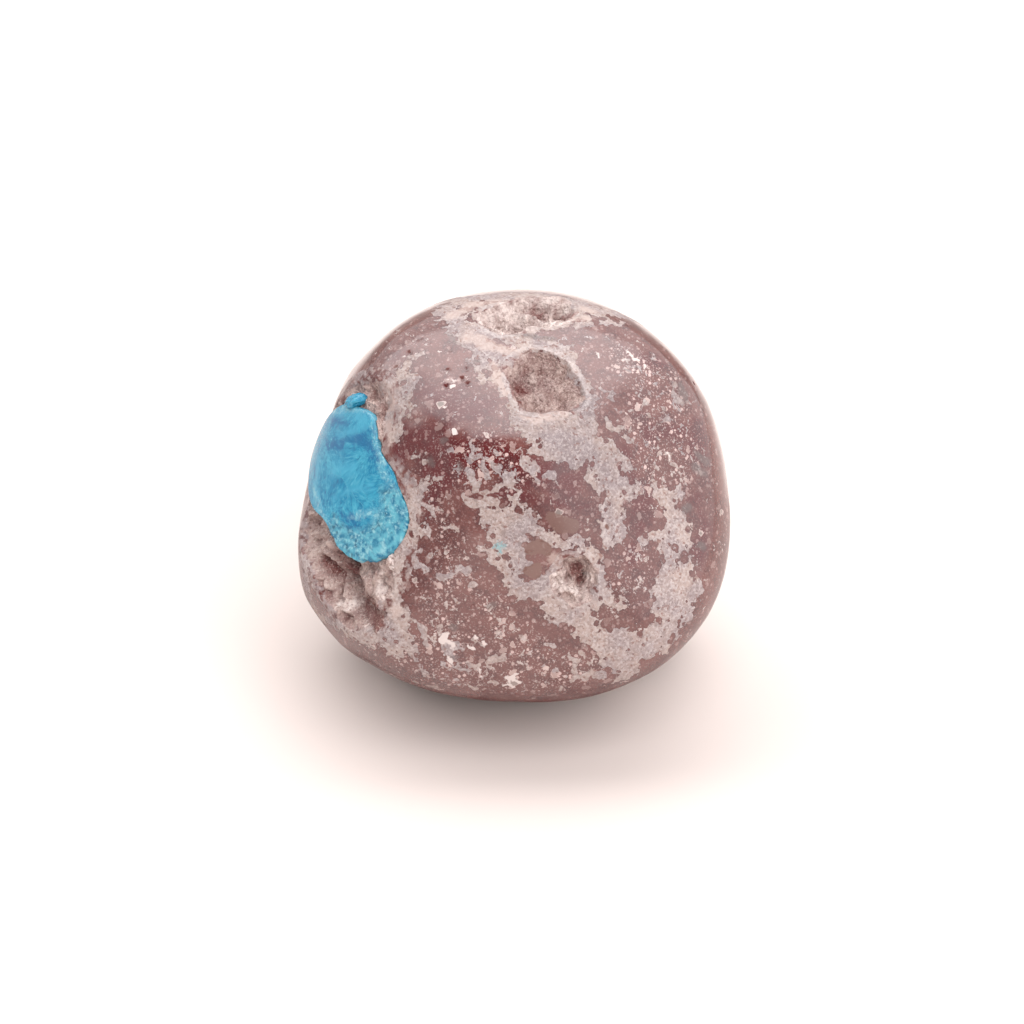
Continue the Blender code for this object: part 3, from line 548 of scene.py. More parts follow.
GOUGES = (  # in the side hollow: its pits and channels, and the ridges between them
    (0.9, ((-14.4, -4.1, 0.45), (-13.7, -4.7, 0.75), (-13.0, -5.2, 0.6))),
    (0.6, ((-13.1, -6.2, 0.3), (-13.0, -7.0, 0.4))),
    (0.35, ((-12.4, -4.9, 0.3), (-11.6, -5.6, 0.35), (-11.6, -6.8, 0.35), (-11.0, -7.7, 0.4))),
    (1.1, ((-11.1, -7.8, 0.5), (-10.5, -8.5, 0.75), (-10.1, -9.1, 0.6))),
    (0.5, ((-14.6, -5.8, 0.25), (-14.0, -6.8, 0.25))),
    (-0.7, ((-13.4, -2.2, 0.5), (-12.6, -3.4, 0.5), (-11.4, -4.6, 0.5), (-9.9, -4.9, 0.4))),
    (-0.5, ((-13.7, -3.2, 0.35), (-12.9, -4.4, 0.3), (-12.3, -5.9, 0.4), (-12.1, -6.8, 0.35))),
    (-0.8, ((-10.5, -5.4, 0.45), (-10.2, -6.4, 0.55), (-9.7, -7.3, 0.4))),
    (-0.5, ((-13.6, -7.9, 0.35), (-12.4, -7.4, 0.35), (-11.7, -8.2, 0.35), (-11.0, -9.2, 0.35))),
    (0.5, ((-10.6, 8.6, 0.3), (-10.2, 7.9, 0.35))),
    # on the crown
    (0.6, ((1.5, 15.0, 0.35), (2.2, 14.7, 0.4))),
    (0.6, ((3.2, 14.3, 0.25), (4.2, 14.05, 0.35))),
    (0.6, ((4.7, 14.4, 0.25), (5.2, 14.3, 0.2))),
    (0.5, ((-0.8, 15.0, 0.3), (0.1, 15.0, 0.3))),
    (-0.4, ((2.6, 14.8, 0.2), (4.4, 14.6, 0.2))),
    (-0.4, ((0.6, 14.0, 0.2), (2.6, 13.9, 0.2))),
    (0.3, ((-3.2, 13.6, 0.3), (-2.0, 13.5, 0.4), (-0.9, 13.4, 0.3))),
    # in the upper hollow
    (0.5, ((-0.7, 9.8, 0.3), (-0.4, 8.8, 0.35), (0.0, 8.1, 0.25))),
    (0.4, ((0.8, 10.3, 0.35), (2.0, 10.1, 0.3))),
    (-0.4, ((0.6, 7.6, 0.4), (2.0, 7.8, 0.5), (3.2, 8.2, 0.4))),
    # in the front hollow
    (0.32, ((4.0, -4.4, 0.25), (4.7, -4.3, 0.4), (5.3, -4.0, 0.25))),
    (0.4, ((5.2, -5.0, 0.2), (4.9, -5.6, 0.2))),
    (-0.4, ((3.4, -4.2, 0.3), (3.5, -5.4, 0.4), (4.2, -6.2, 0.3))),
    (-0.3, ((4.3, -5.1, 0.25), (4.5, -5.7, 0.2))),
)


# ---------------------------------------------------------------- meshes


def mesh_object(name, points, faces, material, values=None):
    """A smooth mesh object at the origin, from points in millimetres from the stone's middle.

    Values are its attributes, one number to a point.
    """
    data = bpy.data.meshes.new(name)
    data.from_pydata(((points + MIDDLE) * MM).tolist(), [], faces)
    for attribute, value in (values or {}).items():
        layer = data.attributes.new(attribute, "FLOAT", "POINT")
        layer.data.foreach_set("value", np.ascontiguousarray(value, dtype=np.float32))
    data.polygons.foreach_set("use_smooth", np.ones(len(data.polygons), bool))
    data.materials.append(material)
    data.update()
    made = bpy.data.objects.new(name, data)
    bpy.context.scene.collection.objects.link(made)
    return made


def rock_side_depth(hollow, share):
    """How deep the rock under a crust lies: a bowl, flat-bottomed by a fourth power."""
    deepest = hollow.depth + hollow.thickness + CRUST_LUMP + 0.6 * max(pit[2] for pit in hollow.pits)
    return deepest * (1.0 - np.clip(share, 0.0, 1.0) ** 4)


def ball_flank_depth(share):
    """How deep the ball's flank lies at a share of its reach, between the rings of its profile."""
    shares = [1.03, *[ring[0] for ring in BALL_FLANK[1:]], 0.0]
    depths = [0.0, *[ring[1] for ring in BALL_FLANK[1:]], BALL_DEPTH]
    return np.interp(share, shares[::-1], depths[::-1])


SWELLS = (  # broad swells and dents of the worn face: height, reach, and the line of places it follows
    (-0.45, 3.2, ((-15.9, 2.6), (-14.4, 6.5))),
    (-0.35, 1.6, ((-15.9, 0.4), (-15.8, 1.4))),
    (0.65, 2.8, ((-15.0, -7.2), (-13.4, -10.2))),
    (0.32, 3.5, ((9.6, 13.0), (12.0, 10.4))),
    (0.18, 1.8, ((-13.6, 8.8), (-12.8, 10.2))),
)
# the layers of noise are (height, spacing, seed)
WAVES, WAVE_DROP = ((0.03, 2.6, 31), (0.012, 0.9, 32)), 0.04
HIDDEN_PATCHES, PATCH_DROP = ((1.0, 7.0, 21), (0.5, 3.0, 22)), 0.42
HIDDEN_THREADS, THREAD_WIDTH = ((1.0, 5.0, 23), (0.3, 1.9, 24)), 0.10
STONE_CELLS = 128  # along each side of the cube that the stone is blown up from
SHOW_CLOSENESS = 0.62  # draws the cells together on the side that is shown


def grid_quads(index):
    """The quads between the neighbours of a grid of vertex numbers."""
    corners = (index[..., :-1, :-1], index[..., 1:, :-1], index[..., 1:, 1:], index[..., :-1, 1:])
    return np.stack(corners, axis=-1).reshape(-1, 4)


def cube_sphere(cells):
    """Directions and quads of a cube's surface grid, its corners shared, blown up to a sphere."""
    line = np.arange(cells + 1)
    i, j = (part.ravel() for part in np.meshgrid(line, line, indexing="ij"))
    sides = []
    for axis in range(3):
        for end in (0, cells):
            side = np.zeros((i.size, 3), int)
            side[:, axis] = end
            side[:, (axis + 1) % 3] = i if end else j
            side[:, (axis + 2) % 3] = j if end else i
            sides.append(side)
    lattice, index = np.unique(np.concatenate(sides), axis=0, return_inverse=True)
    quads = grid_quads(index.reshape(6, cells + 1, cells + 1))
    cube = np.tan((lattice / cells * 2.0 - 1.0) * math.pi / 4)
    return cube / np.linalg.norm(cube, axis=1)[:, None], quads


def drawn_together(directions):
    """Directions moved towards the camera's: half the tangent of half their angle from it, scaled."""
    along = directions @ TOWARD
    aside = directions - along[:, None] * TOWARD
    wide = np.linalg.norm(aside, axis=1)
    half = SHOW_CLOSENESS * np.tan(np.arctan2(wide, along) / 2)
    angle = 2 * np.arctan(half)
    heading = aside / np.maximum(wide, 1e-9)[:, None]
    return np.cos(angle)[:, None] * TOWARD + heading * np.sin(angle)[:, None]


def ball_share(directions):
    """How far out each direction lies from the ball's middle, as a share of its reach."""
    distance, angle = polar(*Spot(BALL_AZIMUTH, BALL_ELEVATION).coordinates(directions))
    return distance / wobbly_reach(BALL_REACHES, angle)


def hollow_sink(directions):
    """How far the stone is sunk under its crusts and its ball."""
    sink = np.zeros(len(directions))
    for hollow in HOLLOWS:
        distance, angle = polar(*Spot(hollow.azimuth, hollow.elevation).coordinates(directions))
        outer = wobbly_reach(hollow.reaches, angle) + hollow.rim - RIM_OVERLAP
        under = np.where(distance < outer, rock_side_depth(hollow, distance / outer), 0.0)
        sink = np.maximum(sink, under)
    share = ball_share(directions)
    return np.maximum(sink, np.where(share < 0.9, ball_flank_depth(share) + 0.2, 0.0))


def waves(points):
    """The worn face's waviness, outwards: fine noise, and a bell across each swell's line."""
    total = noises(points, WAVES) - WAVE_DROP
    for height, reach, line in SWELLS:
        stops = place_seen(line)
        span = stops[1] - stops[0]
        along = np.clip((points - stops[0]) @ span / (span @ span), 0.0, 1.0)
        away = np.linalg.norm(points - stops[0] - along[..., None] * span, axis=-1)
        total += height * np.exp(-((away / reach) ** 2))
    return total


def vesicle_sink(points):
    """Round pits: a sphere's cap under each vesicle."""
    sink = np.zeros(len(points))
    spots = np.array(VESICLES)
    for middle, radius in zip(place_seen(spots[:, :2]), spots[:, 2]):
        away = np.linalg.norm(points - middle, axis=1) / radius
        sink = np.maximum(sink, radius * np.sqrt(np.clip(1.0 - away * away, 0.0, 1.0)))
    return sink


def hidden_veins(points):
    """Zeolite on the sides that are not shown: where broad noise is high, or finer noise near zero."""
    patches = noises(points, HIDDEN_PATCHES) - PATCH_DROP
    threads = THREAD_WIDTH - np.abs(noises(points, HIDDEN_THREADS))
    return np.maximum(patches * 2.2, threads * 3.0)


def shown_share(points):
    """1 on the side that the camera sees, 0 behind its outline."""
    facing = (points / np.linalg.norm(points, axis=1)[:, None]) @ TOWARD
    return eased(facing, -0.05, 0.2)


def surface_values(points):
    """The pattern of the polished surface, as depths in millimetres inside each kind of marking."""
    shown = shown_share(points)
    veins = np.maximum(stroke_depth(points, VEINS), hidden_veins(points) - 3.0 * shown)
    return {
        "vein": np.clip(veins, -1.5, 1.5),
        "lace": np.clip(stroke_depth(points, LACE), -1.0, 1.0),
        "flake": np.clip(stroke_depth(points, FLAKES), -1.0, 1.0),
        "flock": np.clip(stroke_depth(points, FLOCKS), -2.0, 2.0),
        "clast": np.clip(stroke_depth(points, CLASTS), -1.0, 1.0),
        "stain": np.clip(stroke_depth(points, STAINS), -1.0, 1.0),
        "red": np.clip(stroke_depth(points, REDS), -2.0, 2.0),
        "cream": np.clip(stroke_depth(points, CREAMS), -1.5, 1.5),
        "cyan": np.clip(stroke_depth(points, CYANS), -1.0, 1.0),
        "shown": shown,
    }


def basalt_stone(material):
    """The worn form on the cube-sphere, sunk under its crusts, with fine waviness and open vesicles."""
    directions, quads = cube_sphere(STONE_CELLS)
    directions = drawn_together(directions)
    surface = directions * worn_radius(directions)[:, None]
    resting = surface[:, 2] < -MIDDLE[2] + 0.01
    sink = np.maximum(hollow_sink(directions), vesicle_sink(surface))
    shift = np.where(resting, 0.0, waves(surface) - sink)
    points = directions * (np.linalg.norm(surface, axis=1) + shift)[:, None]
    points[:, 2] = np.maximum(points[:, 2], -MIDDLE[2])
    made = mesh_object("basalt_surface", points, quads.tolist(), material, surface_values(surface))
    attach(made, "root")
    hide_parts("basalt_stone")


# ---------------------------------------------------------------- crusts and ball


def disc_grid(cells):
    """A square grid pulled into a disc, each square ring to a circle: its shares and its angles."""
    line = np.linspace(-1.0, 1.0, cells + 1)
    x, y = np.meshgrid(line, line, indexing="ij")
    share = np.maximum(np.abs(x), np.abs(y))
    with np.errstate(divide="ignore", invalid="ignore"):
        wide = math.pi / 4 * y / x + np.where(x < 0, math.pi, 0.0)
        tall = math.pi / 2 - math.pi / 4 * x / y + np.where(y < 0, math.pi, 0.0)
    angle = np.where(np.abs(x) >= np.abs(y), wide, tall)
    return share, np.nan_to_num(angle)


def edge_of(grid):
    """The values round a grid's edge, in the order that closed_disc carries them down."""
    return np.concatenate([grid[:-1, 0], grid[-1, :-1], grid[:0:-1, -1], grid[0, :0:-1]])


def closed_disc(name, top, rings, pole, material, values):
    """A closed body: a disc grid on top, rings carried down from its edge, and a fan at the bottom.

    Values are given for the grid, and carry their edge's value down the rings.
    """
    size = top.shape[0] ** 2
    index = np.arange(size).reshape(top.shape[:2])
    quads = grid_quads(index)
    edge = edge_of(index)
    count = len(edge)
    rows = [edge, *(size + count * k + np.arange(count) for k in range(len(rings)))]
    for above, below in zip(rows, rows[1:]):
        wall = np.stack([above, below, np.roll(below, -1), np.roll(above, -1)], axis=-1)
        quads = np.concatenate([quads, wall])
    last = np.full(count, size + count * len(rings))
    fan = np.stack([rows[-1], last, np.roll(rows[-1], -1)], axis=-1)
    points = np.concatenate([top.reshape(-1, 3), *rings, pole.reshape(1, 3)])
    carried = {}
    for attribute, value in values.items():
        flat = value.ravel()
        carried[attribute] = np.concatenate([flat, np.tile(flat[edge], len(rings)), flat[:1]])
    return mesh_object(name, points, quads.tolist() + fan.tolist(), material, carried)


CHANCES = 40  # after this many crystals, the crust's pattern repeats


def crystal_relief(across, up, spacing, seed, slender=0.5, lean=0.5, steep=2.0):
    """The height of a crust of blocky crystals, one to each cell of a jittered lattice.

    A crystal is a leaning flat top with steep sides: a plane, less steep times the distance outside
    its half width and half length. The crust is the highest crystal at each place.
    """
    table = np.random.default_rng(seed).random((CHANCES, CHANCES, 8))
    column, row = np.floor(across / spacing).astype(int), np.floor(up / spacing).astype(int)
    best = np.full(across.shape, -spacing)
    for step_across, step_up in itertools.product((-2, -1, 0, 1, 2), repeat=2):
        i, j = column + step_across, row + step_up
        chance = np.moveaxis(table[i % CHANCES, j % CHANCES], -1, 0)
        x = across - (i + chance[0]) * spacing
        y = up - (j + chance[1]) * spacing
        turn = chance[2] * math.pi
        x, y = x * np.cos(turn) + y * np.sin(turn), y * np.cos(turn) - x * np.sin(turn)
        half_width = spacing * (0.25 + 0.3 * chance[3])
        top = spacing * 0.7 * chance[4] + lean * ((chance[5] - 0.5) * x + (chance[6] - 0.5) * y) * 2
        half_length = half_width * (slender * chance[7] + 0.8)
        outside = np.maximum(np.abs(x) - half_width, np.abs(y) - half_length)
        best = np.maximum(best, top - steep * np.maximum(outside, 0.0))
    return best


LUMP_SPACING = 1.7
CRAGS, CRAG_DROP, CRAG_CRYSTAL = ((0.5, 1.3, 48), (0.35, 0.6, 49)), 0.3, 0.8
FRAY = ((0.35, 1.1, 46), (0.22, 0.45, 47))  # how far the crystals' edge wanders
LIP_HEADING, LIP_FADE = math.radians(30), (0.3, 0.75)  # the ball's side where the crust is nearly flush
SMALL_CRYSTAL, TINY_CRYSTAL = 0.45, 0.17  # a share of the largest's spacing, and a spacing
CRUST_RINGS = (0.995, 0.94, 0.82, 0.6, 0.3)  # shares of the reach, from the rim down
SKIN = 0.02  # how far inside the rock a crust's back lies


def crust(hollow, material):
    """A crust as a closed bowl: a flush worn rim, then a bowl with pits, lumps and crystals."""
    spot = Spot(hollow.azimuth, hollow.elevation)
    share, angle = disc_grid(hollow.cells)
    inner = wobbly_reach(hollow.reaches, angle)
    outer = inner + hollow.rim
    distance = share * outer
    across, up = from_polar(distance, angle)
    place = spot.place(across, up, np.zeros_like(across))

    # the bowl, with its pits, lumps, crags and gouges
    bowl = 1.0 - np.clip(distance / inner, 0.0, 1.0) ** hollow.bowl
    depth = hollow.depth * bowl
    for pit_across, pit_up, pit_depth, radius in hollow.pits:
        away = np.hypot(across - pit_across, up - pit_up) / radius
        depth += pit_depth * np.exp(-away * away) * np.minimum(1.0, 2 * bowl)
    pitted = (depth - hollow.depth * bowl) / max(pit[2] for pit in hollow.pits)
    folded = (height * np.abs(lattice_noise(place, *layer)) for height, *layer in CRAGS)
    crags = (sum(folded) - CRAG_DROP) * (hollow.crystal / CRAG_CRYSTAL)
    lumps = CRUST_LUMP * lattice_noise(place, LUMP_SPACING, 41)
    depth += (lumps + crags) * np.minimum(1.0, 3 * bowl)
    gouged = carved(spot.place(across, up, depth), GOUGES) * eased(outer - distance, 0.1, 0.6)
    depth = np.maximum(depth + gouged, 0.0)
    pitted = np.maximum(pitted, gouged / 0.9)

    # the edge of the crystals, and the level lip beside the ball
    frayed_edge = noises(place, FRAY) + 0.8 * gouged
    holds_ball = hollow.name == "side_zeolite_crust"
    if holds_ball:
        directions = spot.directions(across, up)
        under = ball_share(directions)
        _, heading = polar(*Spot(BALL_AZIMUTH, BALL_ELEVATION).coordinates(directions))
        beside = eased(np.cos(heading - LIP_HEADING), *LIP_FADE)
        depth *= (1.0 - 0.9 * beside) * (1.0 - 0.6 * (1.0 - eased(under, 1.0, 1.4)))
        frayed_edge -= 1.2 * beside

    # the crystals, in three sizes
    large = crystal_relief(across, up, hollow.crystal, 42)
    small = crystal_relief(across, up, hollow.crystal * SMALL_CRYSTAL, 43)
    tiny = crystal_relief(across, up, TINY_CRYSTAL, 44)
    relief = 0.35 * large + 0.55 * small + 0.5 * tiny + 0.2 * lattice_noise(place, 0.7, 45)
    roughness = eased(inner - distance + frayed_edge, -0.1, 0.45)
    depth -= relief * roughness * np.minimum(1.0, 0.5 + 2 * bowl) - 0.3 * hollow.crystal * roughness
    depth = np.maximum(depth, 0.02 * roughness)

    # kept clear of the ball, and inside the rock
    tuck = RIM_TUCK * (1.0 - eased(outer - distance, 0.0, 0.12)) - 0.012 - waves(place)
    if holds_ball:
        depth = np.where(under < 1.0, np.maximum(depth, ball_flank_depth(under) + 0.1), depth)
    rock = rock_side_depth(hollow, (distance + 0.15) / (outer - RIM_OVERLAP))
    deepest = np.maximum(rock - 0.05 - 0.7 * np.abs(relief) * roughness, 0.0)
    depth = np.minimum(depth, deepest)
    top = spot.place(across, up, depth + tuck)

    # the back
    edge_angle, edge_reach = edge_of(angle), edge_of(outer)
    rings = []
    for ring_share in CRUST_RINGS:
        reach = edge_reach * ring_share
        level = np.maximum(rock_side_depth(hollow, ring_share) + SKIN, RIM_TUCK + SKIN)
        ring = from_polar(reach, edge_angle)
        rings.append(spot.place(*ring, level - waves(spot.place(*ring, np.zeros_like(reach)))))
    pole = spot.place(np.zeros(1), np.zeros(1), rock_side_depth(hollow, np.zeros(1)) + SKIN)

    values = {"raised": relief * roughness, "rough": roughness, "pitted": pitted}
    values["bleached"] = np.full_like(depth, hollow.bleached)
    for key, flat in surface_values(place.reshape(-1, 3)).items():
        values[key] = flat.reshape(share.shape)
    made = closed_disc(f"{hollow.name}_crystals", top, rings, pole, material, values)
    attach(made, "root")
    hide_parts(hollow.name)


BALL_CELLS = 250
GROWTH_CENTRES = (  # across, up and depth of the points that the blue fibres grow out from
    (-11.2, 7.6, 0.7),
    (-10.4, 4.4, 0.7),
    (-8.9, 1.9, 0.6),
    (-9.4, -0.6, 1.0),
    (-11.6, -2.6, 1.2),
    (-14.4, -1.4, 1.4),
    (-14.2, 5.2, 1.0),
)
PALE_EDGES = (  # where the ball's margin is bruised to pale fibres
    ((-11.6, 7.4, 0.1), (-10.9, 7.3, 0.25), (-10.3, 6.4, 0.3), (-10.3, 5.0, 0.3), (-9.9, 3.6, 0.35)),
    ((-9.9, 3.6, 0.35), (-9.8, 2.6, 0.3), (-9.2, 1.8, 0.25), (-8.6, 0.6, 0.3), (-8.2, -1.0, 0.3)),
    (
        (-14.9, 1.4, 0.15), (-14.6, -0.2, 0.25), (-13.6, -1.7, 0.2),
        (-12.6, -3.3, 0.25), (-11.6, -4.0, 0.2),
    ),
    ((-13.9, 6.9, 0.15), (-12.6, 7.2, 0.2), (-10.8, 7.2, 0.25)),
    ((-12.3, -0.9, 0.1), (-11.3, -0.6, 0.25), (-10.1, -0.5, 0.3), (-9.3, -1.4, 0.3)),
    ((-12.0, -2.4, 0.1), (-10.8, -2.2, 0.2), (-10.0, -2.8, 0.15)),
)
BLUE_SHADES = (  # darker sheaves of the blue, with painted shade in the band under the ball's reflection haze
    ((-13.5, 6.4, 0.25), (-12.9, 6.2, 0.35), (-12.3, 6.1, 0.15)),
    ((-13.9, 4.5, 0.35), (-13.0, 4.6, 0.45), (-12.2, 4.8, 0.4), (-11.4, 5.1, 0.45), (-10.8, 5.4, 0.4)),
    ((-11.0, 5.0, 0.5), (-10.6, 4.2, 0.3), (-10.2, 3.4, 0.2)),
    ((-9.0, 1.3, 0.1), (-8.8, 0.6, 0.2), (-9.2, 0.0, 0.15)),
    ((-12.8, -0.6, 0.3), (-11.8, -1.2, 0.4)),
)
PALE_SHEAVES_AND_REFLECTION = (  # paler sheaves, and painted reflection haze at the ball's top and left edge
    ((-12.0, 7.0, 0.3), (-11.4, 6.6, 0.6), (-11.0, 6.0, 0.4)),
    ((-13.8, 7.0, 0.2), (-12.8, 6.9, 0.15)),
    ((-13.0, 5.4, 0.25), (-11.9, 5.6, 0.2), (-11.2, 5.8, 0.15)),
    ((-14.6, 3.4, 0.35), (-14.8, 1.6, 0.4), (-14.4, 0.0, 0.4)),
    ((-13.4, 2.6, 0.5), (-12.0, 2.9, 0.4)),
    ((-13.4, 0.6, 0.3), (-12.0, 1.2, 0.3), (-10.6, 1.6, 0.2)),
)
FIBRE_KEYS = ("fibre_x", "fibre_y", "fibre_z")
FIBRE_SPREAD, SHEAF_STEP = 4.0, 7.3  # how finely the fibres fan out, and how far apart sheaves are read
BLADE = {"slender": 1.0, "lean": 0.9}
KNOB_SEEN, KNOB_DEPTH, KNOB_HALVES = (-12.0, 7.95), 0.3, (0.9, 0.55, 0.75)
KNOB_VALUES = {"rough": 0.2, "raised": 0.2, "pale": -0.3, "shade": -1.0, "sheaves_and_reflection": -1.0}


def ball_roughness(share, angle):
    """From 0 to 1, how rough the ball's face is: its lower right edge, and a thin margin all round."""
    turn = (np.degrees(angle) - ROUGH_HEADING + 180) % 360 - 180
    sideways = np.clip(3 * (1.0 - np.abs(turn) / ROUGH_SPREAD), 0.0, 1.0)
    outwards = np.clip(2.2 * (share - ROUGH_START) / (1.0 - ROUGH_START), 0.0, 1.0)
    margin = eased(share, 0.94, 1.0) * 0.5
    return np.maximum(sideways * outwards, margin)


def fibre_coordinates(points):
    """Which sheaf each point lies in, the direction in it, and how far out along its fibres."""
    centres = np.array(GROWTH_CENTRES)
    surface = place_seen(centres[:, :2])
    places = surface * (1.0 - centres[:, 2] / np.linalg.norm(surface, axis=1))[:, None]
    offsets = points[:, None, :] - places
    distances = np.linalg.norm(offsets, axis=-1)
    sway = 0.7 * lattice_noise(points, 1.3, 61)[:, None]
    nearest = np.argmin(distances + sway * np.array((-1, 1, -0.6, 1.3, 0, -1.2, 0.5)), axis=1)
    offset = offsets[np.arange(len(points)), nearest]
    distance = distances[np.arange(len(points)), nearest]
    return nearest, offset / distance[:, None], distance


def cavansite_ball(material):
    """The ball: a worn face flush with the stone, rough where its blades show, and its round flank."""
    spot = Spot(BALL_AZIMUTH, BALL_ELEVATION)
    share, angle = disc_grid(BALL_CELLS)
    reach = wobbly_reach(BALL_REACHES, angle) * 1.01
    rough = ball_roughness(share, angle)
    edge = spot.place(*from_polar(reach, angle), np.zeros_like(reach))
    ragged = np.abs(lattice_noise(edge, 0.8, 55)) + 0.5 * np.abs(lattice_noise(edge, 0.35, 56))
    near_edge = ball_roughness(np.full_like(share, 0.9), angle)
    reach = reach + 0.32 * (ragged - 0.35) * eased(near_edge, 0.1, 0.8)
    across, up = from_polar(share * reach, angle)
    place = spot.place(across, up, np.zeros_like(across))
    heading = math.radians(ROUGH_HEADING)
    along = across * math.cos(heading) + up * math.sin(heading)
    aside = up * math.cos(heading) - across * math.sin(heading)
    relief = 0.5 * crystal_relief(along * 0.5, aside, 0.8, 51, steep=1.0, **BLADE)
    relief += 0.4 * crystal_relief(aside, along * 0.5, 0.42, 52, steep=1.0, **BLADE)
    relief += 0.5 * crystal_relief(along * 0.6, aside, 0.26, 57, steep=1.2, **BLADE)
    sunk = (ROUGH_DEPTH * (1.0 + 0.7 * lattice_noise(place, 1.1, 53)) - relief) * rough
    silk = 0.012 * lattice_noise(place, 0.8, 54) - 0.012
    rounded = 0.22 * eased(share, 0.965, 1.0)
    depth = np.maximum(sunk, 0.0) + rounded - silk - 0.02 * (1 - rough)
    values = {"rough": rough.ravel(), "raised": (relief * rough).ravel()}
    nearest, direction, out = fibre_coordinates(place.reshape(-1, 3))
    values.update(zip(FIBRE_KEYS, (direction * FIBRE_SPREAD + nearest[:, None] * SHEAF_STEP).T))
    values["fibre_out"] = out
    for key, strokes in (("pale", PALE_EDGES), ("shade", BLUE_SHADES), ("sheaves_and_reflection", PALE_SHEAVES_AND_REFLECTION)):
        values[key] = np.clip(stroke_depth(place.reshape(-1, 3), strokes), -1.0, 1.0)
    values["pale"] = np.maximum(values["pale"], 12 * (share.ravel() - 0.985))
    values = {key: value.reshape(share.shape) for key, value in values.items()}
    top = spot.place(across, up, depth)
    edge_angle, edge_reach = edge_of(angle), edge_of(reach)
    rings = []
    for ring_share, level in BALL_FLANK:
        ring = from_polar(edge_reach * min(ring_share, 1.0), edge_angle)
        rings.append(spot.place(*ring, np.full(len(edge_angle), level)))
    pole = spot.place(np.zeros(1), np.zeros(1), np.full(1, BALL_DEPTH))
    made = closed_disc("cavansite_body", top, rings, pole, material, values)
    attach(made, "root")
    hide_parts("cavansite_ball")


def cavansite_knob(material):
    """A small lumpy knob at the ball's top: a squashed sphere, with noise on it."""
    turns, lifts = np.linspace(0, math.tau, 65)[:-1], np.linspace(-math.pi / 2, math.pi / 2, 41)
    turn, lift = np.meshgrid(turns, lifts)
    sphere = np.stack([np.cos(turn) * np.cos(lift), np.sin(lift), np.sin(turn) * np.cos(lift)], axis=-1)
    lumpy = 1.0 + 0.25 * lattice_noise(sphere, 0.7, 71)
    lumpy += 0.12 * lattice_noise(sphere, 0.25, 72)
    sphere *= lumpy[..., None]
    middle = place_seen([KNOB_SEEN])[0]
    middle = middle * (1.0 - KNOB_DEPTH / np.linalg.norm(middle))
    lobes = sphere * KNOB_HALVES
    lobes[..., 1] += 0.25 * lobes[..., 0]
    points = middle + lobes @ np.array((RIGHT, UP, TOWARD))
    rows, columns = turn.shape
    index = np.arange(rows * columns).reshape(rows, columns)
    index[0], index[-1] = index[0, 0], index[-1, 0]
    after = np.roll(index, -1, axis=1)
    quads = np.stack([index[:-1], index[1:], after[1:], after[:-1]], axis=-1).reshape(-1, 4)
    faces = [tuple(dict.fromkeys(quad)) for quad in quads.tolist()]
    flat = points.reshape(-1, 3)
    _, direction, out = fibre_coordinates(flat)
    values = dict(zip(FIBRE_KEYS, (direction * FIBRE_SPREAD).T), fibre_out=out)
    for key, value in KNOB_VALUES.items():
        values[key] = np.full(len(flat), value)
    made = mesh_object("cavansite_knob", flat, faces, material, values)
    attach(made, "root")
    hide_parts("cavansite_ball")


# ---------------------------------------------------------------- materials


def linear(hex_colour):
    """An sRGB hex colour as the linear RGBA that Blender's sockets take."""
    parts = [int(hex_colour[i : i + 2], 16) / 255 for i in (1, 3, 5)]
    return (*[p / 12.92 if p <= 0.04045 else ((p + 0.055) / 1.055) ** 2.4 for p in parts], 1.0)


def node(tree, kind, inputs=None, **settings):
    """Adds a node, sets its properties, and sets or links its inputs, given by name or number."""
    made = tree.nodes.new(kind)
    for name, value in settings.items():
        setattr(made, name, value)
    for key, value in (inputs or {}).items():
        if isinstance(value, bpy.types.NodeSocket):
            tree.links.new(value, made.inputs[key])
        else:
            made.inputs[key].default_value = value
    return made


def new_material(name):
    """A material with a Principled surface: its tree, the shader, and coordinates in millimetres."""
    material = bpy.data.materials.new(name)
    material.use_nodes = True
    tree = material.node_tree
    tree.nodes.clear()
    shader = node(tree, "ShaderNodeBsdfPrincipled")
    node(tree, "ShaderNodeOutputMaterial", {"Surface": shader.outputs[0]})
    place = node(tree, "ShaderNodeTexCoord").outputs["Object"]
    scaled = node(tree, "ShaderNodeVectorMath", {0: place, "Scale": 1 / MM}, operation="SCALE")
    return material, tree, shader, scaled.outputs[0]


def grain(tree, place, size, detail=2.0, rough=0.5, output=0):
    """Noise whose features are about that many millimetres across, from 0 to 1."""
    inputs = {"Vector": place, "Scale": 1.0 / size, "Detail": detail, "Roughness": rough}
    return node(tree, "ShaderNodeTexNoise", inputs).outputs[output]


def math_node(tree, operation, *values):
    """The result of arithmetic on numbers or sockets."""
    made = node(tree, "ShaderNodeMath", dict(enumerate(values)), operation=operation)
    return made.outputs[0]


def ramp(tree, value, low, high, to_low=0.0, to_high=1.0):
    """Maps low..high evenly to to_low..to_high, and holds beyond them."""
    inputs = {0: value, 1: low, 2: high, 3: to_low, 4: to_high}
    return node(tree, "ShaderNodeMapRange", inputs).outputs[0]


def blend(tree, share, first, second, kind="MIX"):
    """One colour blended into another. A colour is a socket or a hex value."""
    colours = [linear(c) if isinstance(c, str) else c for c in (first, second)]
    inputs = {0: share, 6: colours[0], 7: colours[1]}
    return node(tree, "ShaderNodeMix", inputs, data_type="RGBA", blend_type=kind).outputs[2]


def attribute(tree, name):
    """One of the mesh's own values, by its name."""
    return node(tree, "ShaderNodeAttribute", attribute_name=name).outputs["Fac"]


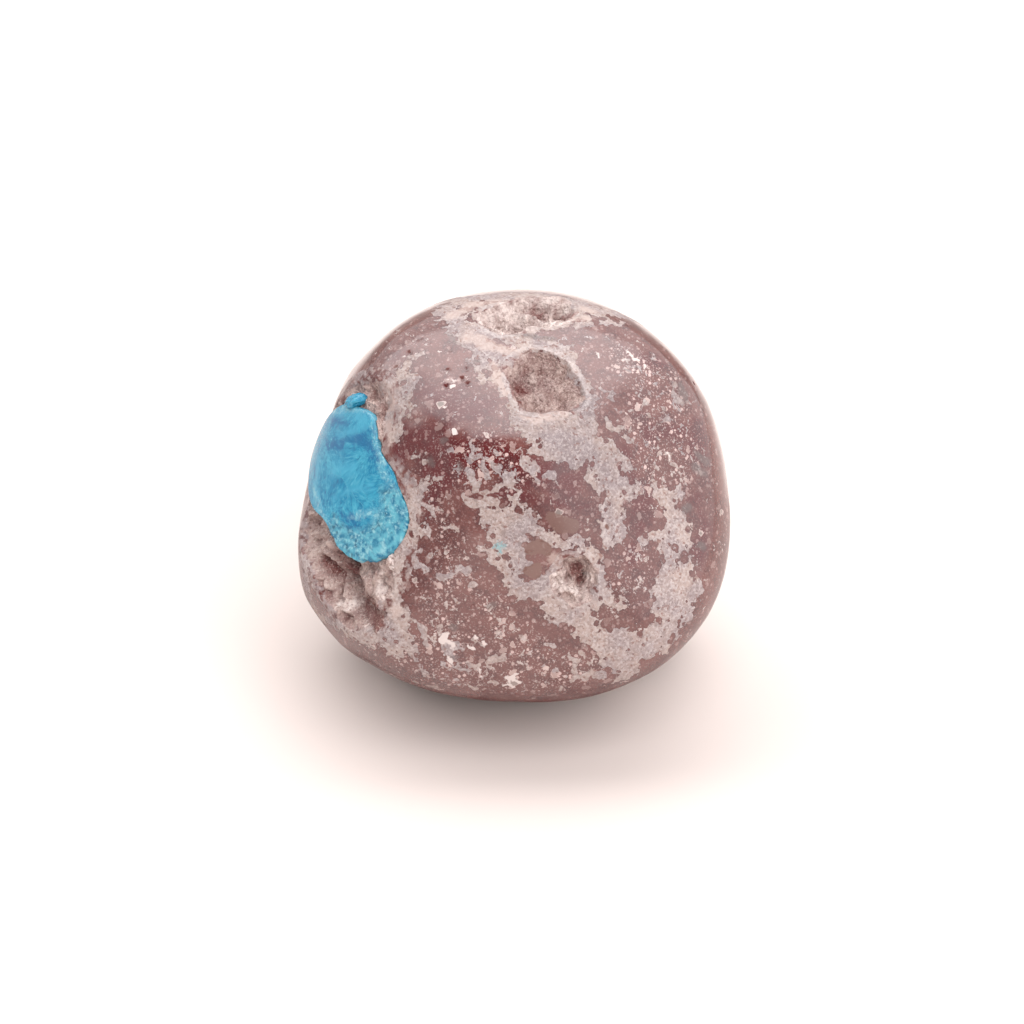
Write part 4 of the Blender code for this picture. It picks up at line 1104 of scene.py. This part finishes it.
def frayed(tree, depth, place, coarse, fine, edge=0.04, cusps=0.0):
    """A marking's mask from its depth, its outline frayed by noise of coarse and fine amplitude.

    Cusps draws it out between rounded grains, by the distance from the nearest grain's middle.
    """
    wander = math_node(tree, "MULTIPLY_ADD", grain(tree, place, 0.9, 3.0), coarse * 4, -coarse * 2)
    jitter = math_node(tree, "MULTIPLY_ADD", grain(tree, place, 0.2, 2.0), fine * 4, -fine * 2)
    total = math_node(tree, "ADD", math_node(tree, "ADD", depth, wander), jitter)
    if cusps:
        grains = node(tree, "ShaderNodeTexVoronoi", {"Vector": place, "Scale": 1.0 / 0.55})
        reach = math_node(tree, "MULTIPLY_ADD", grains.outputs["Distance"], cusps * 2, -cusps)
        total = math_node(tree, "ADD", total, reach)
    return ramp(tree, total, -edge, edge)


def specks(tree, place, spacing, smallest, largest, soft=0.03):
    """Round specks, one to a cell: their mask, and how far inside each a point is."""
    cells = node(tree, "ShaderNodeTexVoronoi", {"Vector": place, "Scale": 1.0 / spacing})
    chance = node(tree, "ShaderNodeSeparateColor", {0: cells.outputs["Color"]})
    radius = ramp(tree, chance.outputs[0], 0.0, 1.0, smallest / spacing, largest / spacing)
    inside = math_node(tree, "SUBTRACT", radius, cells.outputs["Distance"])
    return ramp(tree, inside, 0.0, soft / spacing), inside, chance.outputs[1]


def zeolite_colour(tree, place):
    """Massive grey zeolite: grey and cream clouds of mixed grains, with painted shade from 20 to 29 mm
    up.
    """
    cloud = grain(tree, place, 2.4, 4.0)
    colour = blend(tree, ramp(tree, cloud, 0.42, 0.58), "#8d7f7f", "#a08e88")
    grains = node(tree, "ShaderNodeTexVoronoi", {"Vector": place, "Scale": 1.0 / 0.15})
    tone = node(tree, "ShaderNodeSeparateColor", {0: grains.outputs["Color"]})
    colour = blend(tree, ramp(tree, tone.outputs[0], 0.35, 1.0, 0.0, 0.6), colour, "#746462")
    colour = blend(tree, ramp(tree, tone.outputs[1], 0.6, 0.9, 0.0, 0.6), colour, "#b5a8a5")
    threads = math_node(tree, "SUBTRACT", grain(tree, place, 0.5, 3.0), 0.5)
    threads = math_node(tree, "ABSOLUTE", threads)
    colour = blend(tree, ramp(tree, threads, 0.03, 0.0, 0.0, 0.5), colour, "#b4a9a7")
    brown = ramp(tree, grain(tree, place, 0.3, 2.0), 0.6, 0.7, 0.0, 0.65)
    colour = blend(tree, brown, colour, "#704a42")
    # painted shade: the zeolite is darkened from 20 to 29 mm up, where the light from above falls
    # strongest
    height = node(tree, "ShaderNodeSeparateXYZ", {0: place}).outputs[2]
    above, below = ramp(tree, height, 20.0, 25.0), ramp(tree, height, 29.2, 27.6)
    painted_shade_band = math_node(tree, "MULTIPLY", above, below)
    return blend(tree, painted_shade_band, colour, "#ebebec", "MULTIPLY")


def rock_colour(tree, place):
    """Iron-stained basalt: dark red and brown clouds, with a fine dark and pale grain; the darkest red
    is partly painted shade.
    """
    wander = math_node(tree, "MULTIPLY_ADD", grain(tree, place, 2.0, 4.0), 4.0, -2.0)
    # the red strokes: red stain, and painted shade where they follow the band that reflects the dark
    # ceiling in front
    red = ramp(tree, math_node(tree, "ADD", attribute(tree, "red"), wander), -0.5, 0.5)
    hidden = ramp(tree, attribute(tree, "shown"), 1.0, 0.0)
    cloud = ramp(tree, grain(tree, place, 6.0, 3.0), 0.45, 0.6)
    red = math_node(tree, "MAXIMUM", red, math_node(tree, "MULTIPLY", hidden, cloud))
    brown = blend(tree, ramp(tree, grain(tree, place, 3.0, 4.0), 0.4, 0.6), "#542d2a", "#613935")
    colour = blend(tree, red, brown, "#4d1518")
    patch = ramp(tree, grain(tree, place, 1.1, 4.0), 0.48, 0.62, 0.0, 0.7)
    colour = blend(tree, patch, colour, "#432021")
    fine = ramp(tree, grain(tree, place, 0.16, 2.0), 0.4, 0.75, 0.0, 0.5)
    fine = math_node(tree, "MULTIPLY", fine, ramp(tree, red, 0.0, 1.0, 1.0, 0.4))
    return blend(tree, fine, colour, "#744540")


def polished_face(tree, place):
    """The colour of the worn face, and where it is dull: rock, its specks, and its zeolite."""
    drift = {0: grain(tree, place, 0.5, 3.0, output=1), 1: (0.5, 0.5, 0.5)}
    drift = node(tree, "ShaderNodeVectorMath", drift, operation="SUBTRACT").outputs[0]
    bent = {0: drift, 1: (0.9, 0.9, 0.9), 2: place}
    bent = node(tree, "ShaderNodeVectorMath", bent, operation="MULTIPLY_ADD").outputs[0]
    jittered = {0: grain(tree, place, 0.16, output=1), 1: (0.12, 0.12, 0.12), 2: place}
    jittered = node(tree, "ShaderNodeVectorMath", jittered, operation="MULTIPLY_ADD").outputs[0]
    colour = rock_colour(tree, place)
    flock = math_node(tree, "MULTIPLY_ADD", grain(tree, place, 1.2, 3.0), 3.0, -1.5)
    flock = ramp(tree, math_node(tree, "ADD", attribute(tree, "flock"), flock), -1.0, 0.8, 0.28, 1.0)
    tiny, _, _ = specks(tree, place, 0.24, -0.07, 0.1)
    salt = ramp(tree, grain(tree, place, 0.13, 2.0), 0.58, 0.66, 0.0, 0.7)
    colour = blend(tree, math_node(tree, "MULTIPLY", salt, flock), colour, "#a58e89")
    tiny = math_node(tree, "MULTIPLY", tiny, math_node(tree, "MULTIPLY", flock, 0.7))
    colour = blend(tree, tiny, colour, "#aa8c87")
    small, _, _ = specks(tree, jittered, 0.38, -0.05, 0.16)
    colour = blend(tree, math_node(tree, "MULTIPLY", small, flock), colour, "#b49994")
    middling, depth, tone = specks(tree, bent, 0.75, -0.36, 0.35)
    inner = blend(tree, tone, "#896e68", "#baa39d")
    middle = blend(tree, ramp(tree, depth, 0.06, 0.12), "#af9690", inner)
    colour = blend(tree, math_node(tree, "MULTIPLY", middling, flock), colour, middle)
    shards = math_node(tree, "MULTIPLY_ADD", flock, 0.09, grain(tree, bent, 0.5, 4.0, 0.6))
    colour = blend(tree, ramp(tree, shards, 0.665, 0.68), colour, zeolite_colour(tree, place))
    large, depth, tone = specks(tree, bent, 1.7, -1.3, 0.5)
    inner = blend(tree, tone, "#685954", "#867670")
    pale = blend(tree, ramp(tree, depth, 0.03, 0.07), "#aa9590", inner)
    colour = blend(tree, large, colour, pale)

    clast = frayed(tree, attribute(tree, "clast"), place, 0.12, 0.04)
    stain = frayed(tree, attribute(tree, "stain"), place, 0.1, 0.06, 0.12)
    vein = frayed(tree, attribute(tree, "vein"), place, 0.34, 0.13, 0.03, 0.5)
    lace = frayed(tree, attribute(tree, "lace"), place, 0.1, 0.05, 0.03, 0.22)
    vein = math_node(tree, "MAXIMUM", vein, lace)
    flake = frayed(tree, attribute(tree, "flake"), place, 0.1, 0.07, 0.03, 0.25)
    halo = math_node(tree, "ADD", attribute(tree, "vein"), 0.1)
    halo = frayed(tree, halo, place, 0.34, 0.13, 0.05, 0.5)
    colour = blend(tree, math_node(tree, "MULTIPLY", halo, 0.35), colour, "#3f2627")
    colour = blend(tree, vein, colour, zeolite_colour(tree, place))
    cream = frayed(tree, attribute(tree, "cream"), place, 0.3, 0.2, 0.2)
    colour = blend(tree, math_node(tree, "MULTIPLY", cream, 0.6), colour, "#b5a29b")
    cyan = frayed(tree, attribute(tree, "cyan"), place, 0.15, 0.25, 0.15)
    colour = blend(tree, math_node(tree, "MULTIPLY", cyan, 0.6), colour, "#5fa3ab")
    colour = blend(tree, math_node(tree, "MULTIPLY", clast, 0.85), colour, "#674840")
    colour = blend(tree, math_node(tree, "MULTIPLY", stain, 0.55), colour, "#594d4b")
    dull = math_node(tree, "MAXIMUM", math_node(tree, "MAXIMUM", vein, flake), cream)
    return blend(tree, flake, colour, "#c4b6b2"), dull


def gloss_kept(tree, place):
    """1 where the face keeps its gloss. From 22 mm down it is lost at grazing angles."""
    height = node(tree, "ShaderNodeSeparateXYZ", {0: place}).outputs[2]
    grazing = node(tree, "ShaderNodeLayerWeight", {"Blend": 0.5}).outputs["Facing"]
    low, aslant = ramp(tree, height, 22.0, 18.0), ramp(tree, grazing, 0.45, 0.85, 0.0, 0.95)
    return math_node(tree, "SUBTRACT", 1.0, math_node(tree, "MULTIPLY", low, aslant))


def tumbled_basalt():
    """Vesicular basalt, tumbled: a sheen on the rock, dull on its zeolite veins and low down."""
    material, tree, shader, place = new_material("tumbled_basalt")
    colour, dull = polished_face(tree, place)
    tree.links.new(colour, shader.inputs["Base Color"])
    height = node(tree, "ShaderNodeSeparateXYZ", {0: place}).outputs[2]
    wander = math_node(tree, "MULTIPLY_ADD", grain(tree, place, 3.0, 3.0), 8.0, -4.0)
    height = math_node(tree, "ADD", height, wander)
    dull = math_node(tree, "MAXIMUM", dull, ramp(tree, height, 10.0, 4.0, 0.0, 0.85))
    gloss = ramp(tree, grain(tree, place, 0.6, 3.0), 0.3, 0.7, 0.12, 0.18)
    rough = node(tree, "ShaderNodeMix", {0: dull, 2: gloss, 3: 0.5}).outputs[0]
    tree.links.new(rough, shader.inputs["Roughness"])
    shader.inputs["IOR"].default_value = 1.55
    polish = ramp(tree, dull, 0.0, 1.0, 0.74, 0.0)
    kept = gloss_kept(tree, place)
    tree.links.new(math_node(tree, "MULTIPLY", polish, kept), shader.inputs["Coat Weight"])
    shine = ramp(tree, dull, 0.0, 1.0, 0.5, 0.12)
    tree.links.new(math_node(tree, "MULTIPLY", kept, shine), shader.inputs["Specular IOR Level"])
    shader.inputs["Coat Roughness"].default_value = 0.12
    uneven = math_node(tree, "ADD", dull, 0.08)
    relief = math_node(tree, "MULTIPLY", grain(tree, place, 0.16, 3.0), uneven)
    bump = node(tree, "ShaderNodeBump", {"Height": relief, "Strength": 0.6, "Distance": 0.05 * MM})
    tree.links.new(bump.outputs[0], shader.inputs["Normal"])
    return material


def zeolite_druse():
    """Drusy heulandite and stilbite: pink-brown vitreous crystals, darker between them, a worn rim."""
    material, tree, shader, place = new_material("zeolite_druse")
    raised = attribute(tree, "raised")
    cloud = grain(tree, place, 1.3, 3.0)
    colour = blend(tree, ramp(tree, cloud, 0.4, 0.6), "#856763", "#977b74")
    colour = blend(tree, ramp(tree, raised, 0.05, 0.45, 0.0, 0.8), colour, "#b0988f")
    # darker brown where the crystals are low, between them
    low_darkening = ramp(tree, raised, 0.1, -0.35, 0.0, 0.85)
    colour = blend(tree, low_darkening, colour, "#59322f")
    cream = frayed(tree, attribute(tree, "cream"), place, 0.3, 0.2, 0.2)
    cream = math_node(tree, "MULTIPLY", cream, 0.9)
    bleached = math_node(tree, "MAXIMUM", attribute(tree, "bleached"), cream)
    bleached = math_node(tree, "MULTIPLY", bleached, ramp(tree, raised, -0.15, 0.25, 0.15, 1.0))
    colour = blend(tree, bleached, colour, "#dacbc6")
    shade = math_node(tree, "MULTIPLY_ADD", grain(tree, place, 0.7, 3.0), 1.2, -0.6)
    deep = ramp(tree, math_node(tree, "ADD", attribute(tree, "pitted"), shade), 0.15, 0.8, 0.0, 0.85)
    colour = blend(tree, deep, colour, "#642f2b")
    flecks = ramp(tree, grain(tree, place, 0.14, 2.0), 0.56, 0.7, 0.0, 0.5)
    colour = blend(tree, flecks, colour, "#d4c0b7")
    dark = ramp(tree, grain(tree, place, 0.2, 2.0), 0.42, 0.3, 0.0, 0.4)
    colour = blend(tree, dark, colour, "#543730")
    face, _ = polished_face(tree, place)
    margin = ramp(tree, grain(tree, place, 0.5, 3.0), 0.42, 0.56, 0.0, 0.85)
    margin = math_node(tree, "MULTIPLY", margin, ramp(tree, attribute(tree, "red"), 0.2, -0.6))
    rim = blend(tree, margin, face, zeolite_colour(tree, place))
    share = math_node(tree, "SUBTRACT", attribute(tree, "rough"), 0.35)
    share = frayed(tree, share, place, 0.3, 0.2, 0.15)
    colour = blend(tree, share, rim, colour)
    tree.links.new(colour, shader.inputs["Base Color"])
    rough = node(tree, "ShaderNodeMix", {0: share, 2: 0.3, 3: 0.42}).outputs[0]
    tree.links.new(rough, shader.inputs["Roughness"])
    shader.inputs["IOR"].default_value = 1.5
    kept = gloss_kept(tree, place)
    tree.links.new(math_node(tree, "MULTIPLY", kept, 0.5), shader.inputs["Specular IOR Level"])
    facets = node(tree, "ShaderNodeTexVoronoi", {"Vector": place, "Scale": 1.0 / 0.3})
    relief = grain(tree, place, 0.15, 3.0)
    relief = math_node(tree, "SUBTRACT", relief, facets.outputs["Distance"])
    relief = math_node(tree, "MULTIPLY", relief, share)
    bump = node(tree, "ShaderNodeBump", {"Height": relief, "Strength": 1.0, "Distance": 0.16 * MM})
    tree.links.new(bump.outputs[0], shader.inputs["Normal"])
    return material


def cavansite():
    """Cavansite: silky blue fibres in sheaves, glassy where worn, pale and matt where blades show."""
    material, tree, shader, place = new_material("cavansite")
    fibre = dict(enumerate(attribute(tree, key) for key in FIBRE_KEYS))
    fibre = node(tree, "ShaderNodeCombineXYZ", fibre).outputs[0]
    out = attribute(tree, "fibre_out")

    def silk(scale, stretch, detail):
        inputs = {"Vector": fibre, "W": math_node(tree, "MULTIPLY", out, stretch)}
        inputs.update({"Scale": scale, "Detail": detail, "Roughness": 0.6})
        return node(tree, "ShaderNodeTexNoise", inputs, noise_dimensions="4D").outputs[0]

    sectors, fibres = silk(0.5, 0.5, 2.0), silk(3.2, 0.25, 4.0)
    colour = blend(tree, ramp(tree, sectors, 0.4, 0.6), "#0a6f91", "#2c87a2")
    colour = blend(tree, ramp(tree, fibres, 0.5, 0.72, 0.0, 0.75), colour, "#509fb2")
    colour = blend(tree, ramp(tree, fibres, 0.48, 0.3, 0.0, 0.85), colour, "#05557a")
    streaks = math_node(tree, "MULTIPLY_ADD", silk(1.2, 0.4, 3.0), 2.4, -1.2)
    # darker sheaves, partly painted shade in the band under the ball's reflection haze
    shade = ramp(tree, math_node(tree, "ADD", attribute(tree, "shade"), streaks), -0.25, 0.3, 0.0, 0.9)
    colour = blend(tree, shade, colour, "#04557f")
    # painted reflection: paler blue where the ball's top and left edge reflect the light, with paler
    # sheaves
    sheaves_and_reflection = ramp(tree, math_node(tree, "ADD", attribute(tree, "sheaves_and_reflection"), streaks), -0.25, 0.3, 0.0, 0.7)
    colour = blend(tree, sheaves_and_reflection, colour, "#3a8faa")
    fleck = ramp(tree, silk(1.6, 0.6, 4.0), 0.5, 0.66)
    pale = frayed(tree, attribute(tree, "pale"), place, 0.15, 0.2, 0.2)
    pale = math_node(tree, "MULTIPLY", pale, ramp(tree, fleck, 0.0, 1.0, 0.2, 0.95))
    colour = blend(tree, pale, colour, "#8ab4bb")
    tuft = grain(tree, place, 0.6, 4.0)
    blades = blend(tree, ramp(tree, tuft, 0.4, 0.6), "#0e6280", "#4f96a7")
    coarse = grain(tree, place, 0.45, 4.0)
    gaps = math_node(tree, "MULTIPLY_ADD", attribute(tree, "raised"), 0.5, coarse)
    gaps = ramp(tree, gaps, 0.68, 0.5, 0.0, 0.85)
    blades = blend(tree, gaps, blades, "#073f58")
    blades = blend(tree, math_node(tree, "MULTIPLY", fleck, 0.75), blades, "#8ab6bd")
    colour = blend(tree, ramp(tree, attribute(tree, "rough"), 0.15, 0.7), colour, blades)
    tree.links.new(colour, shader.inputs["Base Color"])
    finish = ramp(tree, attribute(tree, "rough"), 0.1, 0.6, 0.2, 0.45)
    tree.links.new(finish, shader.inputs["Roughness"])
    shader.inputs["IOR"].default_value = 1.55
    bump = node(tree, "ShaderNodeBump", {"Height": fibres, "Strength": 0.35, "Distance": 0.06 * MM})
    tree.links.new(bump.outputs[0], shader.inputs["Normal"])
    return material


def white_paper():
    """A seamless white studio sheet, matt."""
    material, _, shader, _ = new_material("white_paper")
    shader.inputs["Base Color"].default_value = linear("#d7cbc6")
    shader.inputs["Roughness"].default_value = 0.9
    return material


# ---------------------------------------------------------------- stage

SHEET_WIDTH, SHEET_FRONT, SHEET_BACK, SHEET_HEIGHT, SHEET_BEND = 2.0, 0.9, 0.8, 0.4, 0.16
BOX_HEIGHT = 0.42
BOX_FRONT, BOX_BACK = -0.19, 0.6  # as shares of its height
BOX_PANELS = ((-1.8, 0.48, 1.0), (0.48, 0.6, 0.6), (0.6, 0.72, 0.25))  # left, right, radiance share
BOX_TURN = math.radians(7)
BOX_RADIANCE = 1.97
FILL_AZIMUTH, FILL_ELEVATION, FILL_DISTANCE, FILL_SIZE, FILL_RADIANCE = -71, 44, 0.6, 0.46, 5.2


def studio_sheet(material):
    """A floor that curves up into a backdrop: a quarter circle joins the flat and the upright."""
    turn = np.linspace(0.0, math.pi / 2, 13)
    bend_y = SHEET_BACK - SHEET_BEND + SHEET_BEND * np.sin(turn)
    bend_z = SHEET_BEND * (1 - np.cos(turn))
    y = np.concatenate([[-SHEET_FRONT], bend_y, [SHEET_BACK]])
    z = np.concatenate([[0.0], bend_z, [SHEET_HEIGHT]])
    rows = np.array([[(x, *pair) for pair in zip(y, z)] for x in (-SHEET_WIDTH / 2, SHEET_WIDTH / 2)])
    count = len(y)
    faces = [(i, count + i, count + i + 1, i + 1) for i in range(count - 1)]
    sheet = mesh_object("studio_sheet", rows.reshape(-1, 3) / MM - MIDDLE, faces, material)


def area_light(name, width, length, radiance, place, turn):
    """A rectangular light with the same radiance all over it, at a place in metres."""
    data = bpy.data.lights.new(name, "AREA")
    data.shape = "RECTANGLE"
    data.size, data.size_y = width, length
    data.energy = radiance * math.pi * width * length
    light = bpy.data.objects.new(name, data)
    light.matrix_world = Matrix.Translation(place) @ turn
    bpy.context.scene.collection.objects.link(light)
    return light


def softbox():
    """A level softbox that shines straight down, turned a little. Its right side fades in steps."""
    turn = Matrix.Rotation(BOX_TURN, 4, "Z")
    length = (BOX_BACK - BOX_FRONT) * BOX_HEIGHT
    for left, right, share in BOX_PANELS:
        place = turn @ Vector(((left + right) / 2, (BOX_BACK + BOX_FRONT) / 2, 1.0)) * BOX_HEIGHT
        area_light("softbox", (right - left) * BOX_HEIGHT, length, BOX_RADIANCE * share, place, turn)


def fill_light():
    """A square fill light in front and above, left out of reflections so that it shows no highlight."""
    out = Vector(unit(FILL_AZIMUTH, FILL_ELEVATION))
    turn = out.to_track_quat("Z", "Y").to_matrix().to_4x4()
    light = area_light("fill_light", FILL_SIZE, FILL_SIZE, FILL_RADIANCE, out * FILL_DISTANCE, turn)
    light.visible_glossy = False


def studio_world():
    """A ceiling dark in front only, and walls that brighten behind and at the right."""
    world = bpy.data.worlds.new("room")
    world.use_nodes = True
    tree = world.node_tree
    tree.nodes.clear()
    place = node(tree, "ShaderNodeTexCoord").outputs["Generated"]
    axes = node(tree, "ShaderNodeSeparateXYZ", {0: place})
    behind = ramp(tree, axes.outputs[1], -0.24, 0.1)
    left = ramp(tree, axes.outputs[0], -0.62, -0.9)
    right = ramp(tree, axes.outputs[0], 0.3, 0.58)
    above = ramp(tree, math_node(tree, "MAXIMUM", behind, left), 0.0, 1.0, 0.12, 1.5)
    above = math_node(tree, "MAXIMUM", above, ramp(tree, right, 0.0, 1.0, 0.12, 1.8))
    back_wall = ramp(tree, behind, 0.0, 1.0, 0.5, 1.3)
    right_wall = ramp(tree, right, 0.0, 1.0, 0.5, 1.6)
    walls = math_node(tree, "MAXIMUM", back_wall, right_wall)
    share = ramp(tree, axes.outputs[2], 0.62, 0.5)
    strength = node(tree, "ShaderNodeMix", {0: share, 2: above, 3: walls}).outputs[0]
    background = node(tree, "ShaderNodeBackground", {0: (1.0, 1.0, 1.0, 1.0), 1: strength})
    node(tree, "ShaderNodeOutputWorld", {0: background.outputs[0]})
    bpy.context.scene.world = world


def camera():
    """The camera, looking level along +Y and down at the stone's middle."""
    data = bpy.data.cameras.new("camera")
    data.lens, data.sensor_width = LENS, SENSOR
    data.shift_x, data.shift_y = SHIFT
    data.clip_start, data.clip_end = 0.01, 10.0
    made = bpy.data.objects.new("camera", data)
    bpy.context.scene.collection.objects.link(made)
    turn = Matrix((RIGHT, UP, TOWARD)).transposed().to_4x4()
    spot = (MIDDLE + TOWARD * CAMERA_DISTANCE) * MM
    made.matrix_world = Matrix.Translation(spot) @ turn
    bpy.context.scene.camera = made


def build():
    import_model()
    basalt_stone(tumbled_basalt())
    druse = zeolite_druse()
    for hollow in HOLLOWS:
        crust(hollow, druse)
    blue = cavansite()
    cavansite_ball(blue)
    cavansite_knob(blue)
    studio_sheet(white_paper())
    softbox()
    fill_light()
    studio_world()
    camera()
    bpy.context.scene.view_settings.view_transform = "Standard"


build()
